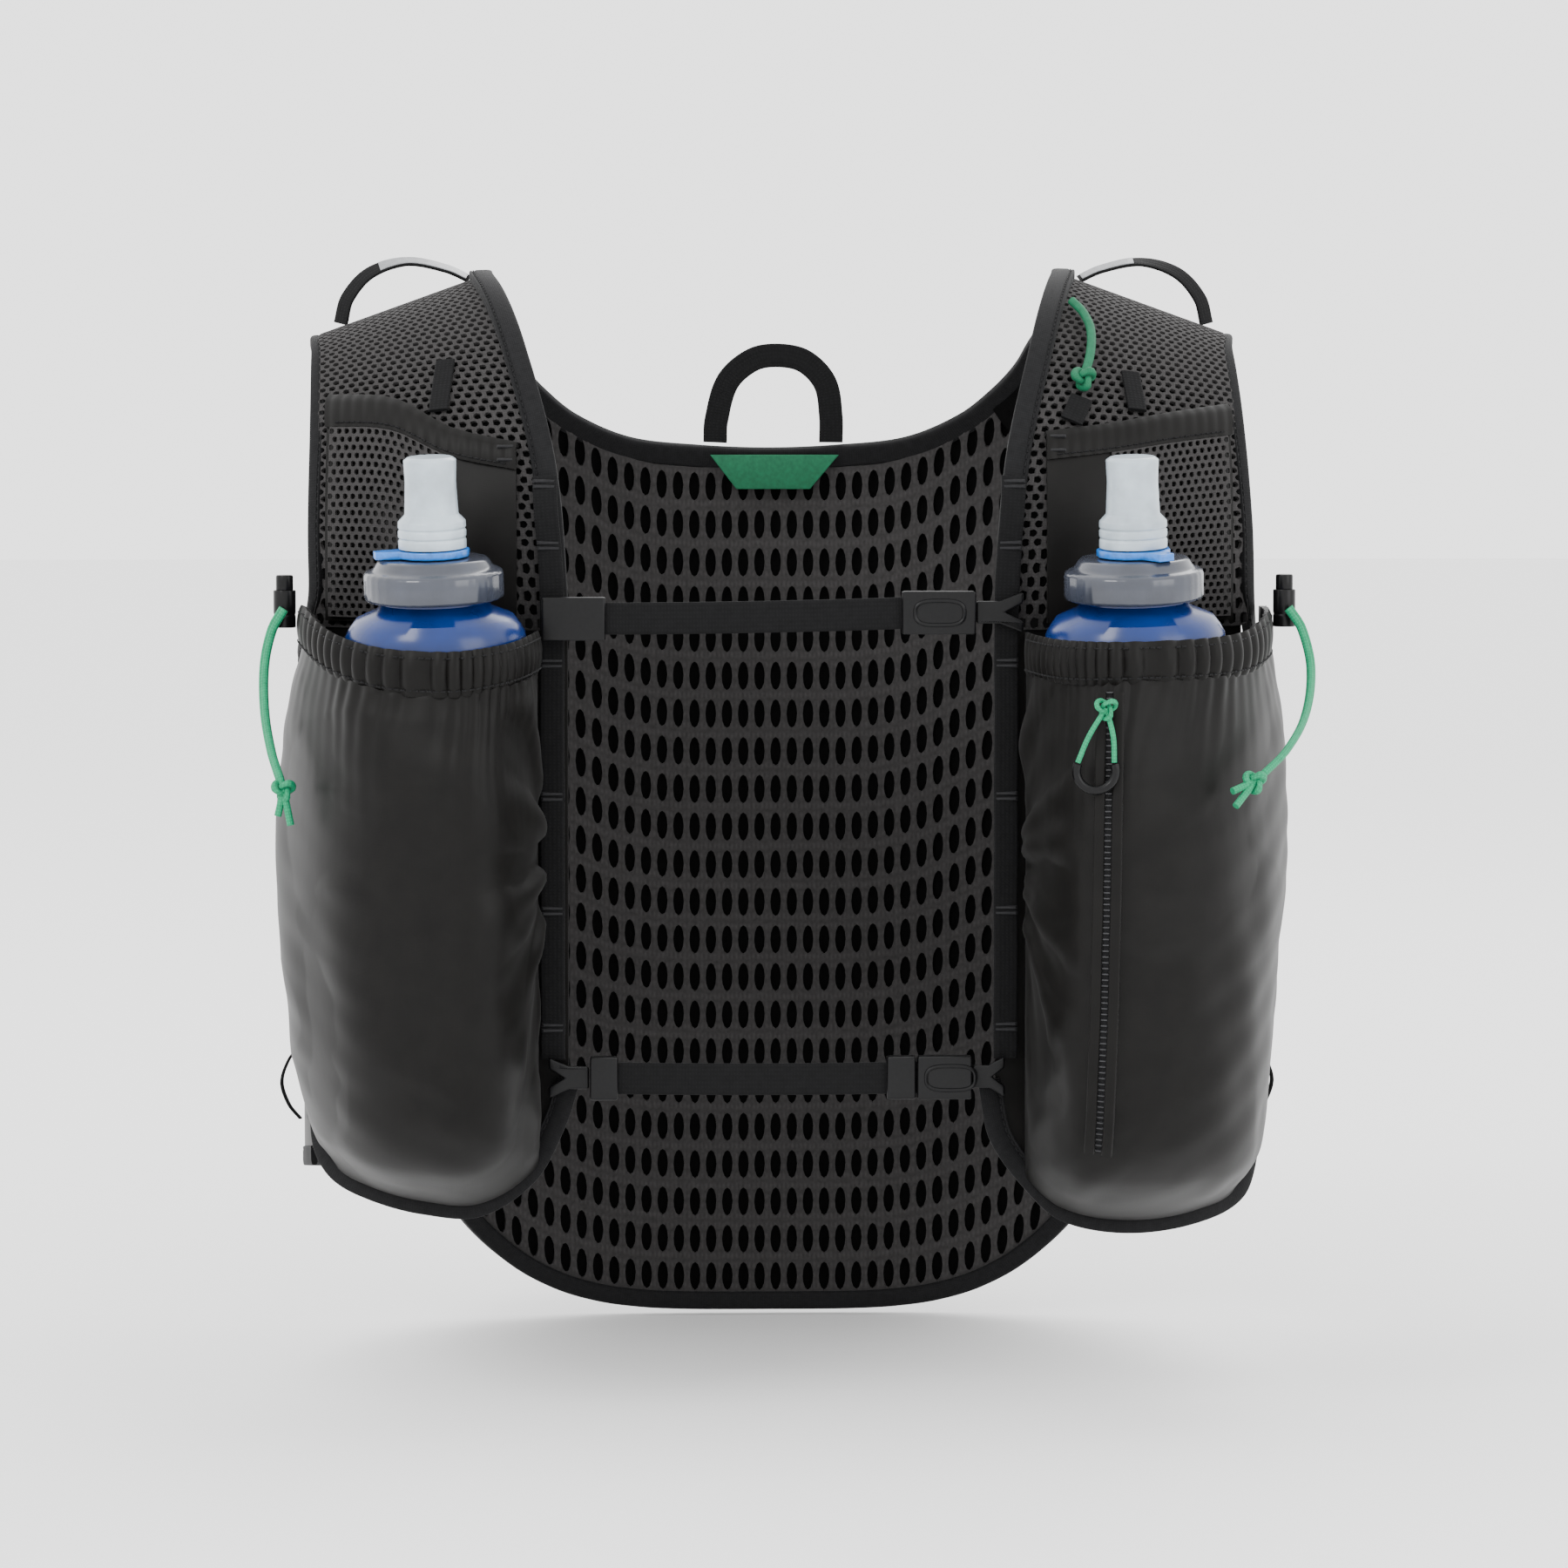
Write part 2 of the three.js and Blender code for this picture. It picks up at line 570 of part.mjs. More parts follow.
// Flat upper pockets on the straps, below a curved top edge
const UPPER_TOP = [
  { across: 0, left: 0.46, right: 0.43 },
  { across: 0.35, left: 0.42, right: 0.41 },
  { across: 0.65, left: 0.345, right: 0.385 },
  { across: 1, left: 0.335, right: 0.36 },
];
const UPPER_INNER = 91;
const UPPER_OUTER = 156;
const UPPER_FOOT = 117;
for (const { side, hand } of SIDES) {
  const table = columnOf(UPPER_TOP, 'across', (row) => row[hand] * MOUTH_DROP);
  const pocket = (u, v) => onChest(side * lerp(UPPER_INNER, UPPER_OUTER, u), -lerp(along(table, u), UPPER_FOOT, v));
  add(`upper_pocket_${hand}`, cloth(pocket, 6, 7, NET + 1, NET + 1 + POCKET_CLOTH), 'nylon');
}

// Flasks. sections run up the outside, over the neck's lip and down inside.
function rings(sections, sides) {
  const points = [V(0, 0, sections[0].z)];
  const triangles = [];
  sections.forEach(({ z, rx, ry }) => {
    for (let k = 0; k < sides; k += 1) {
      const angle = (2 * Math.PI * k) / sides;
      points.push(V(rx * Math.cos(angle), ry * Math.sin(angle), z));
    }
  });
  points.push(V(0, 0, sections[sections.length - 1].z));
  const last = points.length - 1;
  for (let k = 0; k < sides; k += 1) {
    const next = (k + 1) % sides;
    triangles.push(0, 1 + next, 1 + k);
    for (let j = 0; j + 1 < sections.length; j += 1) {
      const [a, b] = [1 + j * sides, 1 + (j + 1) * sides];
      triangles.push(a + k, a + next, b + next, a + k, b + next, b + k);
    }
    const top = 1 + (sections.length - 1) * sides;
    triangles.push(top + k, top + next, last);
  }
  return outward(points, triangles);
}

const FLASK_SHAPE = [
  { down: 1, width: 0.62, depth: 0.5 },
  { down: 0.96, width: 0.86, depth: 0.76 },
  { down: 0.85, width: 0.97, depth: 0.86 },
  { down: 0.5, width: 1, depth: 1 },
  { down: 0.14, width: 1, depth: 1 },
  { down: 0.07, width: 0.97, depth: 0.94 },
  { down: 0.035, width: 0.83, depth: 0.84 },
];
const LEVER_GAP = 0.4;
const LEVER_FOOT = CAP_SKIRT + CAP_TOP + LEVER_GAP;
const VALVE_FOOT_RADIUS = 8;

function lathe(profile, sides = 18) {
  const geometry = new THREE.LatheGeometry(profile.map(([r, z]) => new THREE.Vector2(r, z)), sides);
  return geometry.rotateX(Math.PI / 2);
}

for (const { side, hand } of SIDES) {
  const flask = new THREE.Group();
  flask.position.set(side * FLASK_SIDE, -FLASK_FORWARD, -CAP_LEVEL);
  flask.rotation.set(radians(FLASK_TILT), -radians(FLASK_LEAN), 0);
  vest.add(flask);
  const ring = (inset) => FLASK_SHAPE.map(({ down, width, depth }) => ({
    z: -FLASK_LENGTH * down + (down === 1 ? inset : 0),
    rx: (FLASK_WIDTH / 2) * width - inset,
    ry: (FLASK_DEPTH / 2) * depth - inset,
  }));
  const neck = (inset) => [
    { z: -GAP * 4, rx: NECK_OUTER - inset, ry: NECK_OUTER - inset },
    { z: NECK_HEIGHT, rx: NECK_OUTER - inset, ry: NECK_OUTER - inset },
  ];
  const outside = [...ring(0), ...neck(0)];
  const inside = [...ring(FLASK_WALL), ...neck(FLASK_WALL)].reverse();
  add(`flask_${hand}`, rings([...outside, ...inside], 14), 'flask', flask);
  const bore = NECK_OUTER + 0.8;
  add(`cap_${hand}`, lathe([
    [0, NECK_HEIGHT + 1], [bore, NECK_HEIGHT + 1], [bore, 0], [CAP_RADIUS, 0], [CAP_RADIUS, CAP_SKIRT],
    [CAP_TOP_RADIUS, CAP_SKIRT + 1], [CAP_TOP_RADIUS - 2, CAP_SKIRT + CAP_TOP], [0, CAP_SKIRT + CAP_TOP],
  ]), 'cap', flask);
  const foot = CAP_SKIRT + CAP_TOP + GAP;
  const base = LEVER_FOOT + LEVER_THICK + LEVER_GAP;
  add(`bite_valve_${hand}`, lathe([
    [0, foot], [VALVE_FOOT_RADIUS, foot], [VALVE_FOOT_RADIUS, base], [VALVE_BASE_RADIUS, base],
    [VALVE_BASE_RADIUS, base + VALVE_BASE_HEIGHT * 0.8], [VALVE_RADIUS, base + VALVE_BASE_HEIGHT],
    [VALVE_RADIUS, base + VALVE_BASE_HEIGHT + VALVE_HEIGHT - 1],
    [VALVE_RADIUS - 1, base + VALVE_BASE_HEIGHT + VALVE_HEIGHT], [0, base + VALVE_BASE_HEIGHT + VALVE_HEIGHT],
  ], 12), 'valve', flask);
  const outline = new THREE.Shape();
  const reach = VALVE_BASE_RADIUS + 1;
  const half = Math.asin(LEVER_WIDTH / 2 / reach);
  outline.absarc(0, 0, reach, half, 2 * Math.PI - half, false);
  outline.lineTo(LEVER_REACH, -LEVER_WIDTH / 3);
  outline.lineTo(LEVER_REACH, LEVER_WIDTH / 3);
  outline.closePath();
  const hole = new THREE.Path();
  hole.absarc(0, 0, VALVE_FOOT_RADIUS + LEVER_GAP, 0, 2 * Math.PI, true);
  outline.holes.push(hole);
  const lever = new THREE.ExtrudeGeometry(outline, { depth: LEVER_THICK, bevelEnabled: false, curveSegments: 6 });
  lever.rotateZ(side < 0 ? radians(190) : radians(-60)).translate(0, 0, LEVER_FOOT);
  add(`valve_lever_${hand}`, lever, 'lever', flask);
}

// Daisy webbing down both inner edges
const DAISY_TOP = 66;
const DAISY_FOOT = 268;
const DAISY_EDGE = { left: 74.5, right: 72.5 };
const DAISY_LIFT = TAPE_FRONT + GAP + 0.6;
for (const { side, hand } of SIDES) {
  const path = Array.from({ length: 13 }, (_, i) => {
    const z = -lerp(DAISY_TOP, DAISY_FOOT, i / 12);
    const lean = 2.5 * THREE.MathUtils.smoothstep(z, -110, -DAISY_TOP);
    const point = onChest(side * (DAISY_EDGE[hand] + DAISY_WIDTH / 2 + lean), z);
    return { point, normal: V(side * 0.12, -1, 0).normalize() };
  });
  add(`webbing_${hand}`, tape(path, -DAISY_WIDTH / 2, DAISY_WIDTH / 2, DAISY_LIFT, DAISY_LIFT + DAISY_THICK), 'webbing');
}

function solid(geometry) {
  const bare = geometry.clone();
  bare.deleteAttribute('normal');
  bare.deleteAttribute('uv');
  const merged = mergeVertices(bare, 1e-4);
  return new wasm.Manifold(new wasm.Mesh({
    numProp: 3,
    vertProperties: new Float32Array(merged.attributes.position.array),
    triVerts: new Uint32Array(merged.index.array),
  }));
}

function fromSolid(manifold) {
  const { vertProperties, triVerts } = manifold.getMesh();
  return fromTriangles(Array.from(vertProperties), Array.from(triVerts));
}

const block = (x0, x1, y0, y1, z0, z1) => new THREE.BoxGeometry(x1 - x0, y1 - y0, z1 - z0)
  .translate((x0 + x1) / 2, (y0 + y1) / 2, (z0 + z1) / 2);
const sleeve = (outer, slot) => fromSolid(solid(block(...outer)).subtract(solid(block(...slot))));

// Sternum straps: web, keeper, buckle body and the forked hooks on the daisy webbing
const STRAP_BACK = -115.6;
const HARD_BACK = -113.8;
const HARD_FRONT = HARD_BACK - BUCKLE_DEPTH - 1.4;
const STRAP_FRONT = STRAP_BACK - STRAP_THICK;
const SLOT_GAP = 0.9;
const STRAP_SAG = 0.6;
const HARD_HALF = 7.4;

function fork(x0, x1, z) {
  const [long, half] = [x1 - x0, 7];
  const shape = new THREE.Shape();
  const corners = [[0, 0.55], [0.5, 0.55], [1, 1], [1, 0.45], [0.6, 0], [1, -0.45], [1, -1], [0.5, -0.55], [0, -0.55]];
  corners.forEach(([a, b], i) => shape[i ? 'lineTo' : 'moveTo'](x0 + a * long, z + b * half));
  const geometry = new THREE.ExtrudeGeometry(shape, { depth: 3, bevelEnabled: false });
  return geometry.rotateX(Math.PI / 2).translate(0, HARD_BACK, 0);
}

function web(x0, x1, z0, z1) {
  const path = Array.from({ length: 9 }, (_, i) => {
    const t = i / 8;
    const z = lerp(z0, z1, t) - STRAP_SAG * 4 * t * (1 - t);
    return { point: V(lerp(x0, x1, t), STRAP_BACK, z), normal: V(0, -1, 0) };
  });
  return tape(path, -STRAP_WIDTH / 2, STRAP_WIDTH / 2, 0, STRAP_THICK);
}

const slotOf = (x0, x1, z) => [x0, x1, STRAP_FRONT - GAP, STRAP_BACK + GAP, z - STRAP_WIDTH / 2 - SLOT_GAP, z + STRAP_WIDTH / 2 + SLOT_GAP];
const shell = (x0, x1, z, half) => [x0, x1, HARD_FRONT, HARD_BACK, z - half, z + half];
const UPPER = -UPPER_STRAP_DROP;
const LOWER = -LOWER_STRAP_DROP;
add('strap_keeper', sleeve(shell(-83, -61, UPPER + 1, HARD_HALF), slotOf(-80, -60, UPPER + 1)), 'plastic');
add('chest_strap_upper', web(-79.5, 47, UPPER + 1, UPPER + 3), 'webbing');
add('buckle_upper', sleeve(shell(41, 66.5, UPPER + 3, HARD_HALF), slotOf(40, 47.5, UPPER + 3)), 'plastic');
add('hook_upper', fork(66.8, 83, UPPER + 3), 'plastic');
add('hook_lower_left', fork(-67, -81, LOWER + 2), 'plastic');
add('strap_ring_lower', sleeve(shell(-66.7, -57, LOWER + 2, HARD_HALF), slotOf(-64, -56, LOWER + 2)), 'plastic');
add('chest_strap_lower', web(-63.5, 53, LOWER + 2, LOWER + 2), 'webbing');
add('glider_lower', sleeve(shell(36, 46, LOWER + 2, HARD_HALF), slotOf(35, 47, LOWER + 2)), 'plastic');
add('buckle_lower', sleeve(shell(46.5, 65.5, LOWER + 2, HARD_HALF), slotOf(46, 53.5, LOWER + 2)), 'plastic');
add('hook_lower_right', fork(65.8, 77, LOWER + 2), 'plastic');

// Ribbon loops, tabs and the label
const ribbon = (name, points, width, thickness, material, normal, steps = 12) => {
  const path = stations(points, steps, normal);
  add(name, tape(path, -width / 2, width / 2, 0, thickness), material);
};
const LOOP_MIDDLE = 133;
for (const { side, hand } of SIDES) {
  const points = [[-22, 2.7], [-14, 6.2], [0, 8.7], [13, 4.8], [21, -4], [23.5, -13.1]]
    .map(([across, z]) => V(side * (LOOP_MIDDLE + across), 0, z));
  const away = (p) => V(p.x - side * LOOP_MIDDLE, 0, p.z + 16).normalize();
  ribbon(`shoulder_loop_${hand}`, points, RIBBON_WIDTH, LOOP_THICK, 'webbing', away);
  const tab = { left: [[116, -30], [118, -46.5]], right: [[122, -34], [123.5, -46.5]] }[hand];
  const lifted = tab.map(([x, z]) => {
    const p = onChest(side * x, z);
    return p.addScaledVector(torsoNormal(p), NET + 3 * GAP);
  });
  ribbon(`hose_tab_${hand}`, lifted, RIBBON_WIDTH, LOOP_THICK, 'webbing', torsoNormal, 3);
  const tie = [[0, 0], [4, 5], [6.5, 13], [4, 21], [0, 26]];
  const bow = tie.map(([out, down]) => V(side * (169.8 + out), -50, -270 - down));
  ribbon(`side_loop_${hand}`, bow, LOOP_WIDTH / 2, LOOP_THICK, 'webbing', () => V(side, 0, 0), 8);
}

const hangArch = [[-1, 0], [-0.98, 0.25], [-0.78, 0.7], [-0.35, 0.95], [0.1, 1], [0.55, 0.93], [0.9, 0.68], [1, 0.3], [1, 0]]
  .map(([across, up]) => V(2 + across * (HANG_HALF - LOOP_WIDTH / 2 + 2.5), BACK_DEPTH - 1.5, -NECK_DROP + 2.6 + up * HANG_HEIGHT));
ribbon('hang_loop', hangArch, LOOP_WIDTH, LOOP_THICK, 'webbing', () => V(0, -1, 0), 20);

const LABEL_CLEAR = 3;
const labelShape = new THREE.Shape();
[[-22, 0], [27, 0], [16, -13], [-12, -13]].forEach(([x, z], i) => labelShape[i ? 'lineTo' : 'moveTo'](x, z));
const label = new THREE.ExtrudeGeometry(labelShape, { depth: 1, bevelEnabled: false });
add('neck_label', label.rotateX(Math.PI / 2).translate(0, BACK_DEPTH - TAPE_BACK - GAP - LABEL_CLEAR, -NECK_DROP - 2), 'green');

// Cords: round tubes through chosen points, joined with their knots
function tube(points, radius, steps) {
  const shape = new THREE.Shape();
  shape.absarc(0, 0, radius, 0, 2 * Math.PI, false);
  const path = new THREE.CatmullRomCurve3(points, false, 'centripetal');
  return new THREE.ExtrudeGeometry(shape, { steps, extrudePath: path, curveSegments: 3, bevelEnabled: false });
}
const knot = (p, radius) => new THREE.IcosahedronGeometry(radius, 1).scale(1, 0.8, 1.1).translate(p.x, p.y, p.z);
const joined = (geometries) => fromSolid(geometries.map(solid).reduce((a, b) => a.add(b)));

const LOCK_OUT = { left: 172.6, right: 175.8 };
const LOCK_FORWARD = 92;
const LOCK_FOOT = 119;
const BUTTON_TRAVEL = 3;
const DRAWCORD = {
  left: {
    strand: [[173, -97.8, -112], [177, -98, -119], [179.5, -102, -131], [179, -112, -146], [176, -127, -159], [172.5, -138, -168]],
    knot: [170.5, -142, -172],
    tails: [[168, -144, -184], [172.5, -142, -181]],
  },
  right: {
    strand: [[177, -97.8, -112], [181.5, -99, -119], [184, -106, -132], [180, -127, -147], [171, -151, -158], [162, -164, -165]],
    knot: [158, -167, -168],
    tails: [[150, -172, -171], [151, -173, -176]],
  },
};
for (const { side, hand } of SIDES) {
  const bore = BUTTON_RADIUS + GAP;
  const deep = LOCK_LENGTH - BUTTON_TRAVEL - 2 * 1;
  const place = (geometry) => geometry.translate(side * LOCK_OUT[hand], -LOCK_FORWARD, -LOCK_FOOT);
  add(`cord_lock_${hand}`, place(lathe([
    [0, 0], [LOCK_RADIUS, 0], [LOCK_RADIUS, LOCK_LENGTH], [bore, LOCK_LENGTH], [bore, deep], [0, deep],
  ], 12)), 'plastic');
  const foot = deep + BUTTON_TRAVEL + GAP;
  add(`lock_button_${hand}`, place(lathe([
    [0, foot], [BUTTON_RADIUS, foot], [BUTTON_RADIUS, foot + BUTTON_LENGTH], [0, foot + BUTTON_LENGTH],
  ], 12)), 'plastic');
  const route = DRAWCORD[hand];
  const at = ([x, y, z]) => V(side * x, y, z);
  const outer = route.strand.map(at);
  const inner = route.strand.map(([x, y, z]) => V(side * (x - 1), y - CORD - 0.4, z - 0.5));
  add(`drawcord_${hand}`, joined([
    tube([...outer, at(route.knot)], CORD / 2, 14),
    tube([...inner, at(route.knot)], CORD / 2, 14),
    knot(at(route.knot), KNOT / 2),
    ...route.tails.map((end) => tube([at(route.knot), at(end)], CORD / 2, 3)),
  ]), 'green');
}

// Green cord on the right shoulder, with the tab below it
const lifted = (x, z, height) => {
  const p = onChest(x, z);
  return p.addScaledVector(torsoNormal(p), height);
};
const SHOULDER_CORD_LIFT = NET + GAP + SHOULDER_CORD / 2 + 1.4;
const shoulderRoute = [[103, -11], [106.5, -15], [108.5, -21], [107.5, -29], [104.5, -37]]
  .map(([x, z]) => lifted(x, z, SHOULDER_CORD_LIFT));
add('shoulder_cord', joined([
  tube(shoulderRoute, SHOULDER_CORD / 2, 10),
  knot(shoulderRoute[4], SHOULDER_CORD),
]), 'green');
ribbon('cord_tab', [lifted(104, -42.5, NET + 4 * GAP), lifted(100, -50, NET + 4 * GAP)], 8, LOOP_THICK, 'webbing', torsoNormal, 3);

// Zip on the right pocket: tape, corded pull and its ring
const PULL_RADIUS = 6.5;
const PULL_WIRE = 1.5;
const ZIP_PLACE = 0.42;
const ZIP_FOOT = 0.84;
const ZIP_TOP = 0.02;
const zipSurface = (across, v) => {
  const top = MOUTH_DROP * along(columnOf(POCKET_ENDS, 'across', (row) => row.right[1]), across);
  const low = POCKET_BOTTOM * FOOT_DROP.right * along(columnOf(POCKET_ENDS, 'across', (row) => row.foot), across);
  return pocketPoint(1, 'right', across, v, -lerp(top + SEAM_GAP, low, v), 0);
};
const zipPath = Array.from({ length: 11 }, (_, i) => {
  const v = lerp(ZIP_TOP, ZIP_FOOT, i / 10);
  return { point: zipSurface(ZIP_PLACE - 0.02 * v, v), normal: normalAt(zipSurface, ZIP_PLACE, v) };
});
const ZIP_LIFT = POCKET_CLOTH + GAP + 0.3;
add('zip_tape', tape(zipPath, -ZIP_WIDTH / 2, ZIP_WIDTH / 2, ZIP_LIFT, ZIP_LIFT + ZIP_THICK), 'tape');
const zipTop = zipSurface(ZIP_PLACE, 0.2);
const PULL_Y = zipTop.y - ZIP_LIFT - ZIP_THICK - PULL_WIRE - 2 * GAP;
const pullMiddle = V(102.7, PULL_Y, -163);
const pullArc = Array.from({ length: 9 }, (_, i) => {
  const angle = radians(160 + (220 * i) / 8);
  return pullMiddle.clone().add(V(PULL_RADIUS * Math.cos(angle), 0, PULL_RADIUS * Math.sin(angle)));
});
add('pull_ring', tube(pullArc, PULL_WIRE, 12), 'plastic');
const zipKnot = V(106, PULL_Y, -142);
const strand = (end) => tube([zipKnot, zipKnot.clone().lerp(end, 0.5).add(V(Math.sign(end.x - 102) * 1, 0, 0)), end], ZIP_CORD / 2, 5);
const above = (p) => p.clone().add(V(0, 0, 2 * GAP));
add('zip_cord', joined([
  knot(zipKnot, 2.8),
  strand(above(pullArc[0])),
  strand(above(pullArc[8])),
]), 'green');

export default vest;
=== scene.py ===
"""A running hydration vest with two soft flasks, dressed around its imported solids.

Shapes are worked out in millimetres, x to the right of the picture, the chest towards -y and
z up, and become metres when their mesh is made.
"""

import json
import math

import bpy
import numpy as np
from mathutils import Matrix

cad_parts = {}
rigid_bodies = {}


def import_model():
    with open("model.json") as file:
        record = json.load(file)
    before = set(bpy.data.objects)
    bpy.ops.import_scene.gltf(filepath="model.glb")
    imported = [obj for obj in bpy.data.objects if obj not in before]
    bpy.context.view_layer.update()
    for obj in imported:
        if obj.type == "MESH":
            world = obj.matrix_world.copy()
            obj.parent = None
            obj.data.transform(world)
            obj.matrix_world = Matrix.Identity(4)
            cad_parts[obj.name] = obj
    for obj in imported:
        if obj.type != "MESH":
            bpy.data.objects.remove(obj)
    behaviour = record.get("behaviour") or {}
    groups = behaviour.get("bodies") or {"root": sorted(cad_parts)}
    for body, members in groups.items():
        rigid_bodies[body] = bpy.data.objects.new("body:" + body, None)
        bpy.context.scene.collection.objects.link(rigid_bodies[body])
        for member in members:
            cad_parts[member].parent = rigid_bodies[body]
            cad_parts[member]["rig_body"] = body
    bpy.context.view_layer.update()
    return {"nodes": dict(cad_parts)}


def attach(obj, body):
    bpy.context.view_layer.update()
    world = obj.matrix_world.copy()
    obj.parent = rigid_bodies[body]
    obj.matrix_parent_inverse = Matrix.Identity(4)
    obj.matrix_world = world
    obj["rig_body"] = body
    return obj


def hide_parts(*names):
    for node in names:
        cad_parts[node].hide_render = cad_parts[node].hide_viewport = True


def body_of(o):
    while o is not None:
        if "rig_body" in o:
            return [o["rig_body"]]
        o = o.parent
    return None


bl_info = {
    "name": "Running hydration vest",
    "version": (1, 0, 0),
    "blender": (4, 5, 0),
    "location": "3D View > Sidebar > Vest",
    "description": "Makes the cloth, nets, cords and flasks of a running vest",
    "category": "Add Mesh",
}

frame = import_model()
NODES = frame["nodes"]

MM = 0.001
SIDES = {"left": -1, "right": 1}
TORSO_HALF, SIDE_HALF, CHEST_DEPTH, BACK_DEPTH = 180, 165, 110, 105
ARMPIT, LOWER, NECK_HALF, SLOPE = 90, 240, 111, 0.36
STRAP_OUTER, BACK_HALF, NECK_DROP, HEM_DROP, HEM_RISE = 166, 131, 60, 390, 38
POCKET_INNER, POCKET_OUTER, POCKET_MIDDLE = 85.3, 170, 121
POCKET_BOTTOM, POCKET_BULGE, MOUTH_DROP = 318, 80, 124
FLASK_TILT, FLASK_LEAN = math.radians(5.5), math.radians(1.5)
FLASK_SIDE, FLASK_FORWARD, CAP_LEVEL = 119, 143, 107
TAPE_POWER = 5
FLOOR, FLOOR_HALF = -0.392, 9


# Curves and the torso that the vest lies on

def hermite(places, values, at):
    """Smooth curve through (place, value) rows, each slope taken from the rows beside it."""
    places, values, at = (np.asarray(a, float) for a in (places, values, at))
    i = np.searchsorted(places[1:-1], at, side="left")
    before, after = np.maximum(i - 1, 0), np.minimum(i + 2, len(places) - 1)
    span = places[i + 1] - places[i]
    t = np.clip((at - places[i]) / span, 0, 1)
    start = (values[i + 1] - values[before]) / (places[i + 1] - places[before]) * span
    end = (values[after] - values[i]) / (places[after] - places[i]) * span
    return ((2 * t**3 - 3 * t**2 + 1) * values[i] + (t**3 - 2 * t**2 + t) * start
            + (3 * t**2 - 2 * t**3) * values[i + 1] + (t**3 - t**2) * end)


def unit(vectors):
    """Vectors divided by their length."""
    return vectors / np.maximum(np.linalg.norm(vectors, axis=-1, keepdims=True), 1e-9)


def crest(x):
    """Height of the shoulder line at x."""
    return SLOPE * (NECK_HALF - np.abs(x))


def torso(x, h):
    """Point x across and h round the girth: a quarter ellipse down to armpit height at |h| = 1,
    then straight down, on a plan that is a superellipse of power 3."""
    x, h = np.broadcast_arrays(np.asarray(x, float), np.asarray(h, float))
    depth = np.where(h < 0, -CHEST_DEPTH, BACK_DEPTH)
    plan = np.cbrt(1 - np.minimum(1, np.abs(x) / TORSO_HALF) ** 3)
    turn = np.minimum(1, np.abs(h)) * np.pi / 2
    z = (crest(x) + ARMPIT) * np.cos(turn) - ARMPIT - np.maximum(0, np.abs(h) - 1) * LOWER
    return np.stack([x, depth * plan * np.sin(turn), z], -1)


def girth(x, z, side):
    """The h of a height z above x, in front (-1) or behind (1)."""
    above = (z + ARMPIT) / (crest(x) + ARMPIT)
    low = 1 - (z + ARMPIT) / LOWER
    return side * np.where(above <= 0, low, np.arccos(np.clip(above, 0, 1)) / (np.pi / 2))


def on_chest(x, z):
    """Chest point at x and height z."""
    return torso(x, girth(x, z, -1))


def on_back(x, z):
    """Back point at x and height z."""
    return torso(x, girth(x, z, 1))


def torso_normal(p):
    """Outward direction: the plan's normal, turned up with the height above the armpit."""
    depth = np.where(p[..., 1] < 0, CHEST_DEPTH, BACK_DEPTH)
    flat = np.stack([np.sign(p[..., 0]) * (np.abs(p[..., 0]) / TORSO_HALF) ** 2 / TORSO_HALF,
                     np.sign(p[..., 1]) * (np.abs(p[..., 1]) / depth) ** 2 / depth,
                     0 * p[..., 0]], -1)
    level = np.maximum(0, (p[..., 2] + ARMPIT) / (crest(p[..., 0]) + ARMPIT)) * np.pi / 2
    up = np.stack([0 * level, 0 * level, np.sin(level)], -1)
    return unit(unit(flat) * np.cos(level)[..., None] + up)


def smooth(points, count, closed=False):
    """Even steps along a smooth curve through the points; columns past the third come along."""
    rows = np.array(points, float)
    size = len(rows)
    if closed:
        rows = np.concatenate([rows[-2:], rows, rows[:3]])
    run = np.concatenate([[0], np.cumsum(np.linalg.norm(np.diff(rows[:, :3], axis=0), axis=1))])
    first, last = (run[2], run[2 + size]) if closed else (0, run[-1])
    at = np.linspace(first, last, count, endpoint=not closed)
    return np.stack([hermite(run, rows[:, k], at) for k in range(rows.shape[1])], -1)


def grid(across, down):
    """Two parameters from 0 to 1 on a grid."""
    return np.meshgrid(np.linspace(0, 1, across), np.linspace(0, 1, down), indexing="ij")


def lerp(a, b, t):
    """Straight mix of a and b."""
    return a + (b - a) * t


def folds(p, length, seed, waves=14):
    """Sum of sine waves in fixed random directions, about -2..2, for folds of that length."""
    draw = np.random.default_rng(seed)
    turn = unit(draw.normal(size=(waves, 3))) / (length * draw.uniform(0.6, 1.7, (waves, 1)))
    return np.sin(p @ turn.T * 2 * np.pi + draw.uniform(0, 6.3, waves)).sum(-1) / math.sqrt(waves)


# Meshes

